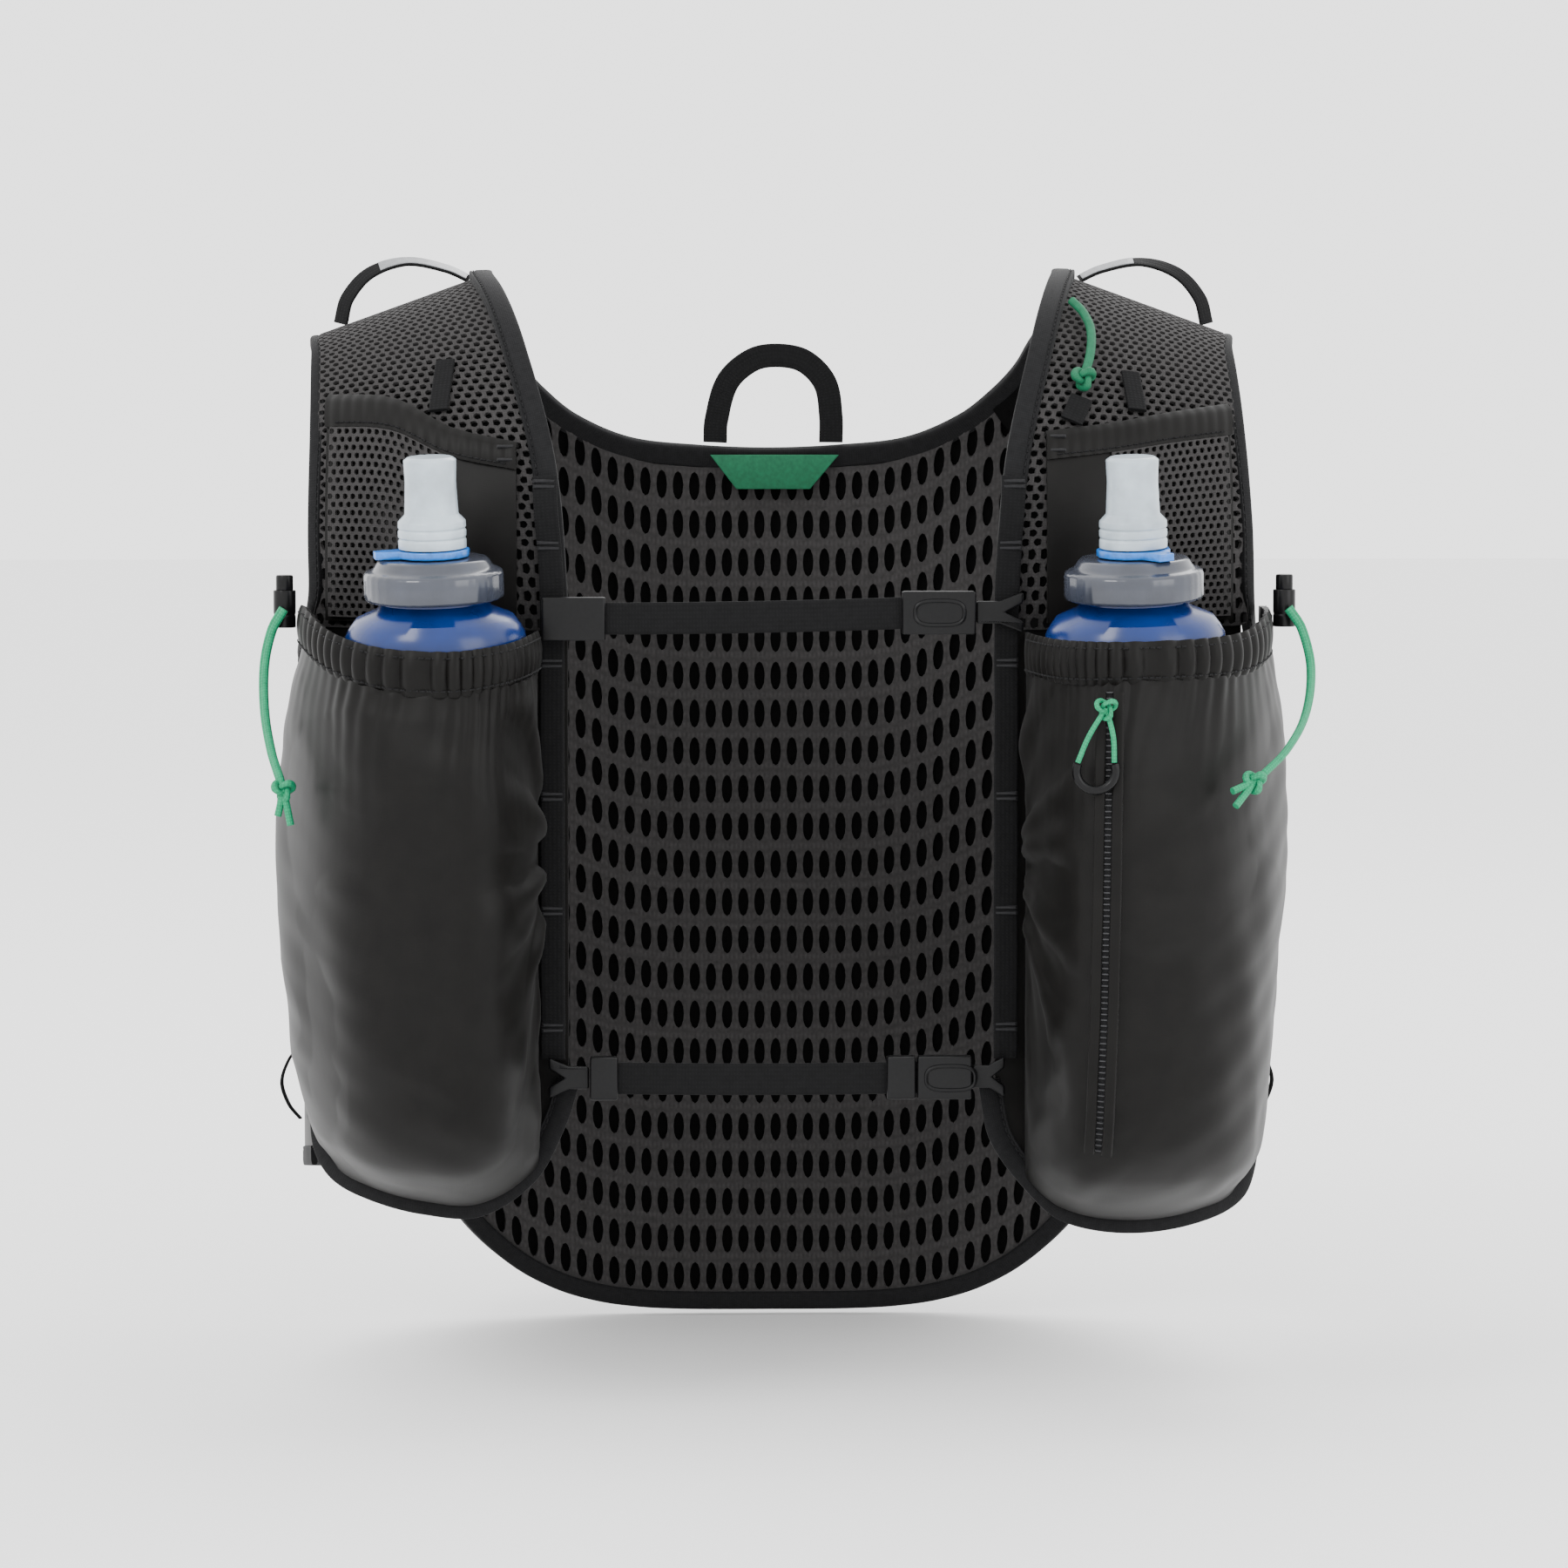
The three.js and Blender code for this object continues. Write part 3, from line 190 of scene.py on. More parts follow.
def mesh_piece(name, points, faces, uv, slot, node=None, sharp=40):
    """One mesh object from points in millimetres, turned outward by its volume's sign.
    It replaces the CAD node and rides on its body; without one it rides on the vest."""
    faces = np.asarray(faces, dtype=np.int32)
    a, b, c = (points[faces[:, k]] for k in (0, 1, 2))
    volume = np.einsum("ij,ij->", a, np.cross(b, c))
    if faces.shape[1] == 4:
        volume += np.einsum("ij,ij->", a, np.cross(c, points[faces[:, 3]]))
    if volume < 0:
        faces = np.ascontiguousarray(faces[:, ::-1])
    mesh = bpy.data.meshes.new(name)
    mesh.vertices.add(len(points))
    mesh.vertices.foreach_set("co", (points * MM).ravel())
    mesh.loops.add(faces.size)
    mesh.loops.foreach_set("vertex_index", faces.ravel())
    mesh.polygons.add(len(faces))
    mesh.polygons.foreach_set("loop_start", np.arange(0, faces.size, faces.shape[1], dtype=np.int32))
    mesh.update(calc_edges=True)
    layer = mesh.uv_layers.new(name="UVMap")
    layer.data.foreach_set("uv", (uv[faces.ravel()] * MM).ravel())
    mesh.shade_smooth()
    mesh.set_sharp_from_angle(angle=math.radians(sharp))
    piece = bpy.data.objects.new(name, mesh)
    bpy.context.collection.objects.link(piece)
    mesh.materials.append(finish(slot))
    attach(piece, body_name(node) if node else "vest")
    if node:
        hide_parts(node)
    return piece


def run_along(surface, axis):
    """Mean distance run along one axis of a grid of points."""
    step = np.linalg.norm(np.diff(surface, axis=axis), axis=-1).mean(axis=1 - axis)
    return np.concatenate([[0], np.cumsum(step)])


def grid_uv(surface):
    """Distances in both directions of a grid, as UV."""
    u, v = np.meshgrid(run_along(surface, 0), run_along(surface, 1), indexing="ij")
    return np.stack([u, v], -1).reshape(-1, 2)


def surface_normal(surface):
    """Unit normals of a grid, on the side away from the body at the grid's middle."""
    normal = unit(np.cross(np.gradient(surface, axis=0), np.gradient(surface, axis=1)))
    m, n = surface.shape[0] // 2, surface.shape[1] // 2
    out = surface[m, n] - (0, 0, -ARMPIT)
    return normal * (1 if normal[m, n] @ out > 0 else -1)


def sheet_piece(name, surface, low, high, slot, node=None):
    """Closed sheet: the grid at two heights above itself, walled round its border."""
    m, n = surface.shape[:2]
    normal = surface_normal(surface)
    points = np.concatenate([(surface + normal * h).reshape(-1, 3) for h in (low, high)])
    index = np.arange(m * n).reshape(m, n)
    quads = np.stack([index[:-1, :-1], index[1:, :-1], index[1:, 1:], index[:-1, 1:]], -1)
    quads = quads.reshape(-1, 4)
    ring = np.concatenate([index[:, 0], index[-1, 1:], index[-2::-1, -1], index[0, -2:0:-1]])
    after = np.roll(ring, -1)
    wall = np.stack([after, ring, ring + m * n, after + m * n], -1)
    faces = np.concatenate([quads, quads[:, ::-1] + m * n, wall])
    piece = mesh_piece(name, points, faces, np.tile(grid_uv(surface), (2, 1)), slot, node)


def loft_piece(name, rings, slot, closed=False, node=None, sharp=40):
    """Skin over closed rings of points, the first and last filled with a strip of quads."""
    m, k = rings.shape[:2]
    index = np.arange(m * k).reshape(m, k)
    a = index if closed else index[:-1]
    b = np.roll(index, -1, 0) if closed else index[1:]
    faces = [np.stack([a, np.roll(a, -1, 1), np.roll(b, -1, 1), b], -1).reshape(-1, 4)]
    if not closed:
        i = np.arange(k // 2 - 1)
        strip = np.stack([i, i + 1, k - 2 - i, k - 1 - i], -1)
        faces += [strip[:, ::-1], strip + (m - 1) * k]
    return mesh_piece(name, rings.reshape(-1, 3), np.concatenate(faces), grid_uv(rings), slot,
                      node, sharp)


def section(left, right, low, high, count=28, groove=None):
    """Rounded tape section: a superellipse ring, with one stitched groove in its top."""
    angle = (np.arange(count) + 0.5) * 2 * np.pi / count
    turned = [np.sign(f(angle)) * np.abs(f(angle)) ** (2 / TAPE_POWER) for f in (np.cos, np.sin)]
    across = (left + right) / 2 + turned[0] * (right - left) / 2
    height = (low + high) / 2 + turned[1] * (high - low) / 2
    if groove is not None:
        dip = 0.7 * np.exp(-((across - groove) / 0.7) ** 2)
        height = np.where(turned[1] > 0, height - dip, height)
    return np.stack([across, height], -1)


def circle(radius, count=12):
    """Round section."""
    angle = np.arange(count) * 2 * np.pi / count
    return radius * np.stack([np.cos(angle), np.sin(angle)], -1)


def heading(path, closed=False):
    """Unit direction of a path at each of its points."""
    if closed:
        return unit(np.roll(path, -1, 0) - np.roll(path, 1, 0))
    return unit(np.gradient(path, axis=0))


def tape_rings(path, normal, profile, closed=False):
    """Profile (across, height) carried along a path, square to its direction."""
    normal = unit(np.broadcast_to(normal, path.shape))
    beside = unit(np.cross(normal, heading(path, closed)))
    return path[:, None] + beside[:, None] * profile[None, :, :1] + normal[:, None] * profile[None, :, 1:]


def tape_piece(name, path, normal, profile, slot, closed=False, **keys):
    """Tape, webbing or cord along a path."""
    return loft_piece(name, tape_rings(path, normal, profile, closed), slot, closed, **keys)


def tube_piece(name, path, radius, reference, slot, **keys):
    """Round cord or wire along a path, its section set by a reference direction."""
    ahead = heading(path)
    normal = unit(np.asarray(reference, float) - ahead * (ahead @ np.asarray(reference))[:, None])
    return tape_piece(name, path, normal, circle(radius), slot, **keys)


def knot_piece(name, middle, size, radius, slot, **keys):
    """Closed trefoil of cord: (sin t + 2 sin 2t, cos t - 2 cos 2t, -sin 3t), as a tight ball."""
    t = np.linspace(0, 2 * np.pi, 72, endpoint=False)
    path = np.stack([np.sin(t) + 2 * np.sin(2 * t), 1.6 * np.sin(3 * t),
                     np.cos(t) - 2 * np.cos(2 * t)], -1) * (size - radius) / 3 + middle
    out = path - middle + (0, 0.01, 0)
    return tape_piece(name, path, out, circle(radius, 10), slot, closed=True, **keys)


def net_piece(name, place, columns, rows, hole, low, high, sides=12, shift=0.0, node=None):
    """Net over place(u, v): a grid of cells, each with an oval gap cut through both layers.
    shift moves every other row sideways by twice that share of a cell."""
    quarter = sides // 4
    angle = np.arange(sides) * 2 * np.pi / sides
    corner = np.array([[0.5, 0.5], [-0.5, 0.5], [-0.5, -0.5], [0.5, -0.5]])
    oval = 0.5 * np.stack([hole[0] * np.cos(angle), hole[1] * np.sin(angle)], -1)
    local = np.concatenate([corner, oval])
    step = len(local)
    cell = np.stack(np.meshgrid(np.arange(columns), np.arange(rows), indexing="ij"), -1)
    uv = (cell.reshape(-1, 1, 2) + 0.5 + local) / (columns, rows)
    u, v = uv[..., 0], uv[..., 1]
    u = u + shift / columns * np.clip(2.4 * np.sin(np.pi * v * rows), -1, 1)
    base = place(u, v)
    e = 0.002
    normal = unit(np.cross(place(u + e, v) - place(u - e, v), place(u, v + e) - place(u, v - e)))
    middle = normal.reshape(-1, 3).shape[0] // 2
    if normal.reshape(-1, 3)[middle] @ (base.reshape(-1, 3)[middle] - (0, 0, -ARMPIT)) < 0:
        normal = -normal
    points = np.concatenate([(base + normal * h).reshape(-1, 3) for h in (low, high)])
    count = columns * rows * step
    tris = []
    for q in range(4):
        ks = np.arange(q * quarter, (q + 1) * quarter)
        tris += [[4 + k, q, 4 + (k + 1) % sides] for k in ks]
        tris.append([q, (q + 1) % 4, 4 + (q + 1) * quarter % sides])
    tris = np.array(tris)
    ring = 4 + np.arange(sides)
    after = np.roll(ring, -1)
    offset = (np.arange(columns * rows) * step)[:, None, None]
    top = (tris[None] + offset).reshape(-1, 3)

    def wall(first, second, where):
        a, b = first + where, second + where
        return np.concatenate([np.stack([a + count, b + count, b], -1).reshape(-1, 3),
                               np.stack([a + count, b, a], -1).reshape(-1, 3)])

    faces = [top + count, top[:, ::-1], wall(ring[None], after[None], offset[:, :, 0])]
    flat = cell.reshape(-1, 2)
    borders = ((3, 2, flat[:, 1] == 0), (1, 0, flat[:, 1] == rows - 1),
               (2, 1, flat[:, 0] == 0), (0, 3, flat[:, 0] == columns - 1))
    for first, second, mask in borders:
        faces.append(wall(np.array([[first]]), np.array([[second]]), offset[mask][:, :, 0]))
    faces = np.concatenate(faces)
    keys = np.round(points * 500).astype(np.int64)
    _, index, inverse = np.unique(keys, axis=0, return_index=True, return_inverse=True)
    faces = inverse.reshape(-1)[faces]
    good = (faces[:, 0] != faces[:, 1]) & (faces[:, 1] != faces[:, 2]) & (faces[:, 0] != faces[:, 2])
    size = np.tile(np.stack([u * columns * 3, v * rows * 3], -1).reshape(-1, 2), (2, 1))
    return mesh_piece(name, points[index], faces[good], size[index], "net", node)


def bars_piece(name, middle, ahead, normal, size, slot="tape"):
    """Stitches or bar tacks: eight-cornered bars, length by width by height, tapered upward."""
    ahead = unit(np.broadcast_to(ahead, middle.shape))
    beside = unit(np.cross(normal, ahead))
    normal = unit(normal)
    corner = np.array([[-1, -1, 0], [1, -1, 0], [1, 1, 0], [-1, 1, 0],
                       [-0.8, -0.5, 1], [0.8, -0.5, 1], [0.8, 0.5, 1], [-0.8, 0.5, 1]])
    corner = corner * (size[0] / 2, size[1] / 2, size[2])
    points = sum(axis[:, None] * corner[None, :, k:k + 1]
                 for k, axis in enumerate((ahead, beside, normal))) + middle[:, None]
    quads = np.array([[3, 2, 1, 0], [4, 5, 6, 7], [0, 1, 5, 4], [1, 2, 6, 5], [2, 3, 7, 6],
                      [3, 0, 4, 7]])
    faces = (quads[None] + (np.arange(len(middle)) * 8)[:, None, None]).reshape(-1, 4)
    points = points.reshape(-1, 3)
    return mesh_piece(name, points, faces, points[:, :2], slot)


def seam_piece(name, path, normal, across, height, pitch=2.6):
    """A row of stitches beside a path."""
    ahead = heading(path)
    normal = unit(np.broadcast_to(normal, path.shape))
    line = path + unit(np.cross(normal, ahead)) * across + normal * height
    run = np.concatenate([[0], np.cumsum(np.linalg.norm(np.diff(line, axis=0), axis=1))])
    at = np.arange(pitch, run[-1] - pitch, pitch)
    rows = np.concatenate([line, ahead, normal], 1)
    rows = np.stack([np.interp(at, run, rows[:, k]) for k in range(9)], -1)
    bars_piece(name, rows[:, :3], rows[:, 3:6], rows[:, 6:], (1.9, 0.55, 0.4))


def binding(part, tail, path, normal, size, groove, node, closed=False):
    """Edge tape beside a path, width by top, and stitches in its groove, offset by height."""
    low, high = sorted((0, size[0]))
    profile = section(low, high, -1, size[1], groove=groove[0])
    tape_piece(f"{part}_tape{tail}", path, normal, profile, "tape", closed, node=node)
    seam_piece(f"{part}_stitches{tail}", path, normal, *groove)


def ribbon(name, path, normal, half, node, thick=1.2):
    """Flat webbing of twice the half width along a path."""
    tape_piece(name, path, normal, section(-half, half, 0, thick), "webbing", node=node)


def eased_piece(node, slot, width):
    """A moulded copy of a CAD solid with its edges rounded by a bevel."""
    source = NODES[node]
    piece = source.copy()
    piece.data = source.data.copy()
    piece.name = f"{node}_moulded"
    piece.parent = None
    piece.matrix_world = source.matrix_world.copy()
    for key in list(piece.keys()):
        del piece[key]
    bpy.context.collection.objects.link(piece)
    weld = piece.modifiers.new("Weld", "WELD")
    weld.merge_threshold = 0.00002
    bevel = piece.modifiers.new("Bevel", "BEVEL")
    bevel.width = width * MM
    bevel.segments = 3
    bevel.limit_method = "ANGLE"
    bevel.angle_limit = math.radians(35)
    piece.data.materials.clear()
    piece.data.materials.append(finish(slot))
    piece.data.shade_smooth()
    piece.data.set_sharp_from_angle(angle=math.radians(35))
    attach(piece, body_name(node))
    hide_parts(node)


def body_name(node):
    """The body that a CAD node rides on."""
    body = body_of(NODES[node])
    return body if isinstance(body, str) else body[0]


# Finishes

# colour or property name, roughness, sheen, weave pitches in mm, weave depth, grain in 1/m,
# grain depth, transmission, coat, specular level
RECIPES = {
    "nylon": ("cloth", 0.44, 0.03, (0.9, 0.9), 0.12, 90, 0.25, 0, 0, 0.1),
    "lining": ((0.002, 0.002, 0.002), 0.9, 0, (1.2, 1.2), 0.2, 300, 0.2, 0, 0, 0.05),
    "net": ("net", 0.75, 0.04, (0.8, 0.8), 0.35, 700, 0.3, 0, 0, 0.07),
    "tape": ("tape", 0.7, 0.05, (0.9, 0.7), 0.5, 500, 0.2, 0, 0, 0.07),
    "thread": ((0.015, 0.015, 0.016), 0.6, 0.05, (0.5, 0.5), 0.3, 900, 0.2, 0, 0, 0.1),
    "webbing": ((0.0045, 0.0045, 0.0048), 0.65, 0.04, (1.1, 1.5), 0.6, 500, 0.2, 0, 0, 0.08),
    "reflective": ((0.2, 0.205, 0.215), 0.35, 0, (0.7, 0.7), 0.2, 600, 0.15, 0, 0.2, 0.4),
    "plastic": ((0.0035, 0.0035, 0.0038), 0.3, 0, (0.4, 0.4), 0.0, 900, 0.12, 0, 0.03, 0.15),
    "tooth": ((0.02, 0.02, 0.022), 0.35, 0, (0.4, 0.4), 0.0, 900, 0.1, 0, 0.1, 0.3),
    "green": ("cord", 0.6, 0.05, (1.1, 0.9), 0.7, 600, 0.2, 0, 0, 0.15),
    "label": ((0.005, 0.10, 0.045), 0.6, 0.03, (0.6, 0.6), 0.4, 600, 0.1, 0, 0, 0.2),
    "flask": ("flask", 0.24, 0, (1, 1), 0.0, 60, 0.1, 0.2, 0.05, 0.35),
    "cap": ((0.032, 0.037, 0.052), 0.22, 0, (1, 1), 0.0, 80, 0.05, 0.12, 0.2, 0.5),
    "valve": ((0.40, 0.47, 0.52), 0.3, 0, (1, 1), 0.0, 80, 0.05, 0.1, 0.2, 0.5),
    "lever": ("lever", 0.3, 0, (1, 1), 0.0, 500, 0.08, 0, 0.3, 0.5),
}


def finish(kind):
    """Material of a kind: two colours mixed by noise and weave, the weave and grain as bump."""
    name = f"vest_{kind}"
    if name in bpy.data.materials:
        return bpy.data.materials[name]
    colour, rough, sheen, pitch, weave_depth, grain, grain_depth, clear, coat, gleam = RECIPES[kind]
    if isinstance(colour, str):
        colour = tuple(getattr(bpy.context.scene.vest_colours, colour))
    material = bpy.data.materials.new(name)
    material.use_nodes = True
    tree = material.node_tree
    shader = tree.nodes["Principled BSDF"]
    looks = {"Roughness": rough, "Sheen Weight": sheen, "Sheen Roughness": 0.35, "Coat Weight": coat,
             "Transmission Weight": clear, "Specular IOR Level": gleam}
    for key, value in looks.items():
        shader.inputs[key].default_value = value

    def node(kind_name, **values):
        made = tree.nodes.new(kind_name)
        for key, value in values.items():
            setattr(made, key, value)
        return made

    place = node("ShaderNodeTexCoord")
    noise = node("ShaderNodeTexNoise")
    noise.inputs["Scale"].default_value = grain
    noise.inputs["Detail"].default_value = 4
    tree.links.new(place.outputs["Object"], noise.inputs["Vector"])
    bands = []
    for direction, size in zip(("X", "Y"), pitch):
        wave = node("ShaderNodeTexWave", bands_direction=direction)
        wave.inputs["Scale"].default_value = 0.314 / (size * MM)
        tree.links.new(place.outputs["UV"], wave.inputs["Vector"])
        bands.append(wave.outputs["Fac"])
    weave = node("ShaderNodeMath", operation="MULTIPLY")
    for k in (0, 1):
        tree.links.new(bands[k], weave.inputs[k])
    mix = node("ShaderNodeMath", operation="MULTIPLY_ADD")
    tree.links.new(weave.outputs[0], mix.inputs[0])
    mix.inputs[1].default_value = weave_depth
    tree.links.new(noise.outputs["Fac"], mix.inputs[2])
    ramp = node("ShaderNodeValToRGB")
    ramp.color_ramp.elements[0].position = 0.25
    ramp.color_ramp.elements[1].position = 0.75 + weave_depth * 0.6
    ramp.color_ramp.elements[0].color = (*(c * 0.72 for c in colour), 1)
    ramp.color_ramp.elements[1].color = (*(min(1, c * 1.28) for c in colour), 1)
    tree.links.new(mix.outputs[0], ramp.inputs["Fac"])
    tree.links.new(ramp.outputs["Color"], shader.inputs["Base Color"])
    bump = node("ShaderNodeBump")
    bump.inputs["Strength"].default_value = 0.35
    bump.inputs["Distance"].default_value = 0.0004 * (grain_depth + weave_depth)
    tree.links.new(mix.outputs[0], bump.inputs["Height"])
    tree.links.new(bump.outputs["Normal"], shader.inputs["Normal"])
    return material


# Surfaces of this vest

EDGE_H = {"neck": (-1.12, -0.83, -0.52, -0.145, 0, 0.33, 0.47, 0.62, 0.735),
          "arm": (-1.08, -0.68, -0.27, 0, 0.3, 0.6, 0.85, 1.02)}
EDGE = {
    ("neck", "left"): (0.661, 0.701, 0.798, 0.906, 0.919, 0.919, 0.874, 0.793, 0.649),
    ("neck", "right"): (0.658, 0.694, 0.786, 0.886, 0.905, 0.919, 0.874, 0.793, 0.649),
    ("arm", "left"): (0.985, 0.986, 1.0, 1.009, 0.97, 0.9, 0.85, 0.84),
    ("arm", "right"): (0.998, 0.985, 0.985, 0.999, 0.964, 0.898, 0.85, 0.84),
}


def edge_path(kind, hand, count):
    """The neck or arm edge up the chest, over the shoulder and down the back."""
    rows = EDGE_H[kind]
    width = NECK_HALF if kind == "neck" else STRAP_OUTER
    h = np.linspace(rows[0], rows[-1], count)
    return torso(SIDES[hand] * width * hermite(rows, EDGE[kind, hand], h), h)


def strap_place(hand):
    """Strap surface between the neck tape and the arm tape, as place(u, v)."""
    side = SIDES[hand]
    tables = []
    for kind, away in (("neck", -6.4), ("arm", 4.4)):
        path = edge_path(kind, hand, 60)
        moved = path + unit(np.cross(torso_normal(path), heading(path))) * side * away
        x, z = moved[:, 0], np.minimum(moved[:, 2], crest(moved[:, 0]) - 0.01)
        h = girth(x, z, np.where(moved[:, 1] < 0, -1, 1))
        order = np.argsort(h)
        tables.append((h[order], np.abs(x)[order]))
    start = float(girth(side * 74.0, -119.4, -1))

    def place(u, v):
        h = lerp(start, lerp(0.7, 0.93, u), v)
        inner, outer = (np.interp(h, *table) for table in tables)
        return torso(side * lerp(inner, outer, u), h)
    return place


BACK_TOP = ((0, 0.3 * BACK_HALF, 0.46 * BACK_HALF, 0.55 * BACK_HALF, 0.78 * BACK_HALF, BACK_HALF),
            (-67, -66.2, -60.5, -53, -40, -60))


def hem_height(x):
    """Height of the back hem: level in the middle, rising with the fourth power of x."""
    return -HEM_DROP + HEM_RISE * (np.abs(x) / (0.9 * BACK_HALF)) ** 4


def back_place(u, v):
    """Back panel between neck tape and hem."""
    x = lerp(-BACK_HALF + 1, BACK_HALF - 1, u)
    slope = 4 * HEM_RISE * np.abs(x) ** 3 / (0.9 * BACK_HALF) ** 4
    low = hem_height(x) + 5.6 * np.hypot(1, slope) + slope
    return on_back(x, lerp(hermite(*BACK_TOP, np.abs(x)), low, v))


def side_bow(side, share, z):
    """Side seam surface, bowed outward from the chest to the back."""
    front, back = on_chest(side * STRAP_OUTER * 0.98, -ARMPIT), on_back(side * BACK_HALF, -ARMPIT)
    bow = 4 * share * (1 - share) * (SIDE_HALF - (front[0] + back[0]) * side * 0.5)
    x = lerp(front[0], back[0], share) + side * bow
    return np.stack(np.broadcast_arrays(x, lerp(front[1], back[1], share), z), -1)


def side_hem(share):
    """Height of the hem under the arm."""
    return lerp(-310, hem_height(BACK_HALF), share)


LEVELS = (0, 0.15, 0.35, 0.55, 0.75, 0.9, 1)
BULGE = (0.93, 0.99, 1, 0.98, 0.88, 0.62, 0.07)
OUTER = {"left": (0.963, 0.995, 1.01, 1.005, 0.985, 0.955, 0.9),
         "right": (0.985, 1.01, 1.02, 1.01, 1.0, 0.985, 0.925)}
ENDS = (0, 0.12, 0.3, 0.5, 0.7, 0.87, 1)
MOUTH = {"left": ((0.965, 0.965, 0.985, 1.0, 0.96, 0.9, 0.91),
                  (1.065, 1.07, 1.09, 1.11, 1.06, 1.01, 1.0)),
         "right": ((0.97, 0.97, 0.975, 0.975, 0.96, 0.92, 0.91),
                   (1.075, 1.075, 1.08, 1.075, 1.065, 1.04, 1.03))}
RIM = {"left": ((0.412, 0.441, 0.502, 0.612, 0.729, 0.835, 0.912, 0.95, 0.958),
                (0.87, 0.918, 0.978, 1.018, 1.018, 1.006, 0.987, 0.955, 0.9)),
       "right": ((0.398, 0.423, 0.497, 0.571, 0.706, 0.853, 0.95, 0.982, 0.988),
                 (0.87, 0.934, 0.99, 1.025, 1.041, 1.035, 1.013, 0.965, 0.9))}


def rim_drop(hand, x):
    """Depth of the rim tape's line below the shoulder at a distance x from the middle."""
    return POCKET_BOTTOM * hermite(np.array(RIM[hand][0]) * POCKET_OUTER, RIM[hand][1], x)


def pocket_point(hand, across, level, z):
    """Pocket wall: a rounded arch from the inner seam (0) over to the outer seam (1)."""
    side = SIDES[hand]
    turn = np.clip(across, 0, 1) * np.pi
    end = np.where(turn < np.pi / 2, POCKET_INNER, POCKET_OUTER * hermite(LEVELS, OUTER[hand], level))
    x = lerp(POCKET_MIDDLE, end, np.abs(np.cos(turn)) ** 0.7)
    p = on_chest(side * x, z)
    rise = POCKET_BULGE * hermite(LEVELS, BULGE, level) * np.maximum(np.sin(turn), 0) ** 0.7
    forward = np.stack([0 * rise, -rise, 0 * rise], -1)
    return p + torso_normal(p) * 2.6 + forward


def raised(place, u, v, height):
    """place(u, v) moved along its normal, and that normal."""
    e = 0.004
    across = place(np.minimum(u + e, 1), v) - place(np.maximum(u - e, 0), v)
    normal = unit(np.cross(across, place(u, np.minimum(v + e, 1)) - place(u, np.maximum(v - e, 0))))
    half = np.array([0.5])
    mid = np.cross(place(half + e, half) - place(half - e, half),
                   place(half, half + e) - place(half, half - e))[0]
    if mid @ (place(half, half)[0] - (0, 0, -ARMPIT)) < 0:
        normal = -normal
    return place(u, v) + normal * np.asarray(height)[..., None], normal


def pocket_place(hand):
    """Wall below the gathered hem, as place(across, v)."""
    def place(u, v):
        top = MOUTH_DROP * hermite(ENDS, MOUTH[hand][1], u) + 0.4
        end = np.where(u < 0.5, POCKET_INNER, POCKET_OUTER * OUTER[hand][-1])
        x = lerp(POCKET_MIDDLE, end, np.abs(np.cos(np.pi * u)) ** 0.7)
        foot = rim_drop(hand, x) - 6.5
        return pocket_point(hand, u, v, -lerp(top, foot, v))
    return place


def hem_place(hand):
    """Gathered hem round the pocket's mouth, as place(across, v)."""
    def place(u, v):
        top, low = (MOUTH_DROP * hermite(ENDS, MOUTH[hand][k], u) for k in (0, 1))
        return pocket_point(hand, u, 0 * v, -lerp(top, low + 0.4, v))
    return place


def pocket_relief(hand, u, v, depth):
    """Wrinkles: ridges that fan out from the inner seam, soft folds, and gathers at the hem."""
    seed = 3 if hand == "left" else 8
    flat = np.stack([u * 190, v * 190, 0 * u], -1)
    x, y = u * 190 + 26, (v - 0.4) * 190
    angle, far = np.arctan2(y, x), np.hypot(x, y)
    fan = np.sin(angle * 13 + folds(flat, 110, seed)) * np.exp(-(far / 105) ** 2)
    fan += 0.55 * np.sin(angle * 24 + 1 + folds(flat, 80, seed + 1)) * np.exp(-(far / 70) ** 2)
    soft = 0.55 * folds(flat * (1.5, 0.8, 1), 75, seed + 2) + 0.16 * folds(flat, 22, seed + 3)
    soft += 0.45 * (1 - np.abs(folds(flat * (0.8, 1.6, 1), 90, seed + 4)))
    pull = 0.3 * np.sin(u * 2 * np.pi * 26 + 2 * folds(flat, 60, seed + 5)) * np.exp(-v / 0.09)
    edge = np.minimum(1, np.minimum(u, 1 - u) / 0.03) * np.minimum(1, (1 - v) / 0.05)
    pull *= np.exp(-((u - 0.5) / 0.3) ** 2) * np.minimum(1, v / 0.01 + 0.4)
    relief = depth * (1.1 * fan + soft + pull) * edge
    return np.where(relief < 0, 0.4 * relief, relief)


def eased_line(points, radius):
    """A profile line with each inner corner cut by two more points."""
    p = np.array(points, float)
    back, on = unit(p[:-2] - p[1:-1]), unit(p[2:] - p[1:-1])
    inner = np.stack([p[1:-1] + back * radius, p[1:-1] + (back + on) * radius * 0.3,
                      p[1:-1] + on * radius], 1).reshape(-1, 2)
    return np.concatenate([p[:1], inner, p[-1:]])


def turned(profile, count=72, ribs=0, share=0.0, above=1e9):
    """Rings of a turned shape from (radius, height) rows, ribbed where the radius is large."""
    angle = np.arange(count) * 2 * np.pi / count
    r = profile[:, :1] * (1 + np.where(profile[:, :1] > above, share, 0) * np.cos(ribs * angle))
    return np.stack([r * np.cos(angle), r * np.sin(angle), profile[:, 1:] + 0 * angle], -1)


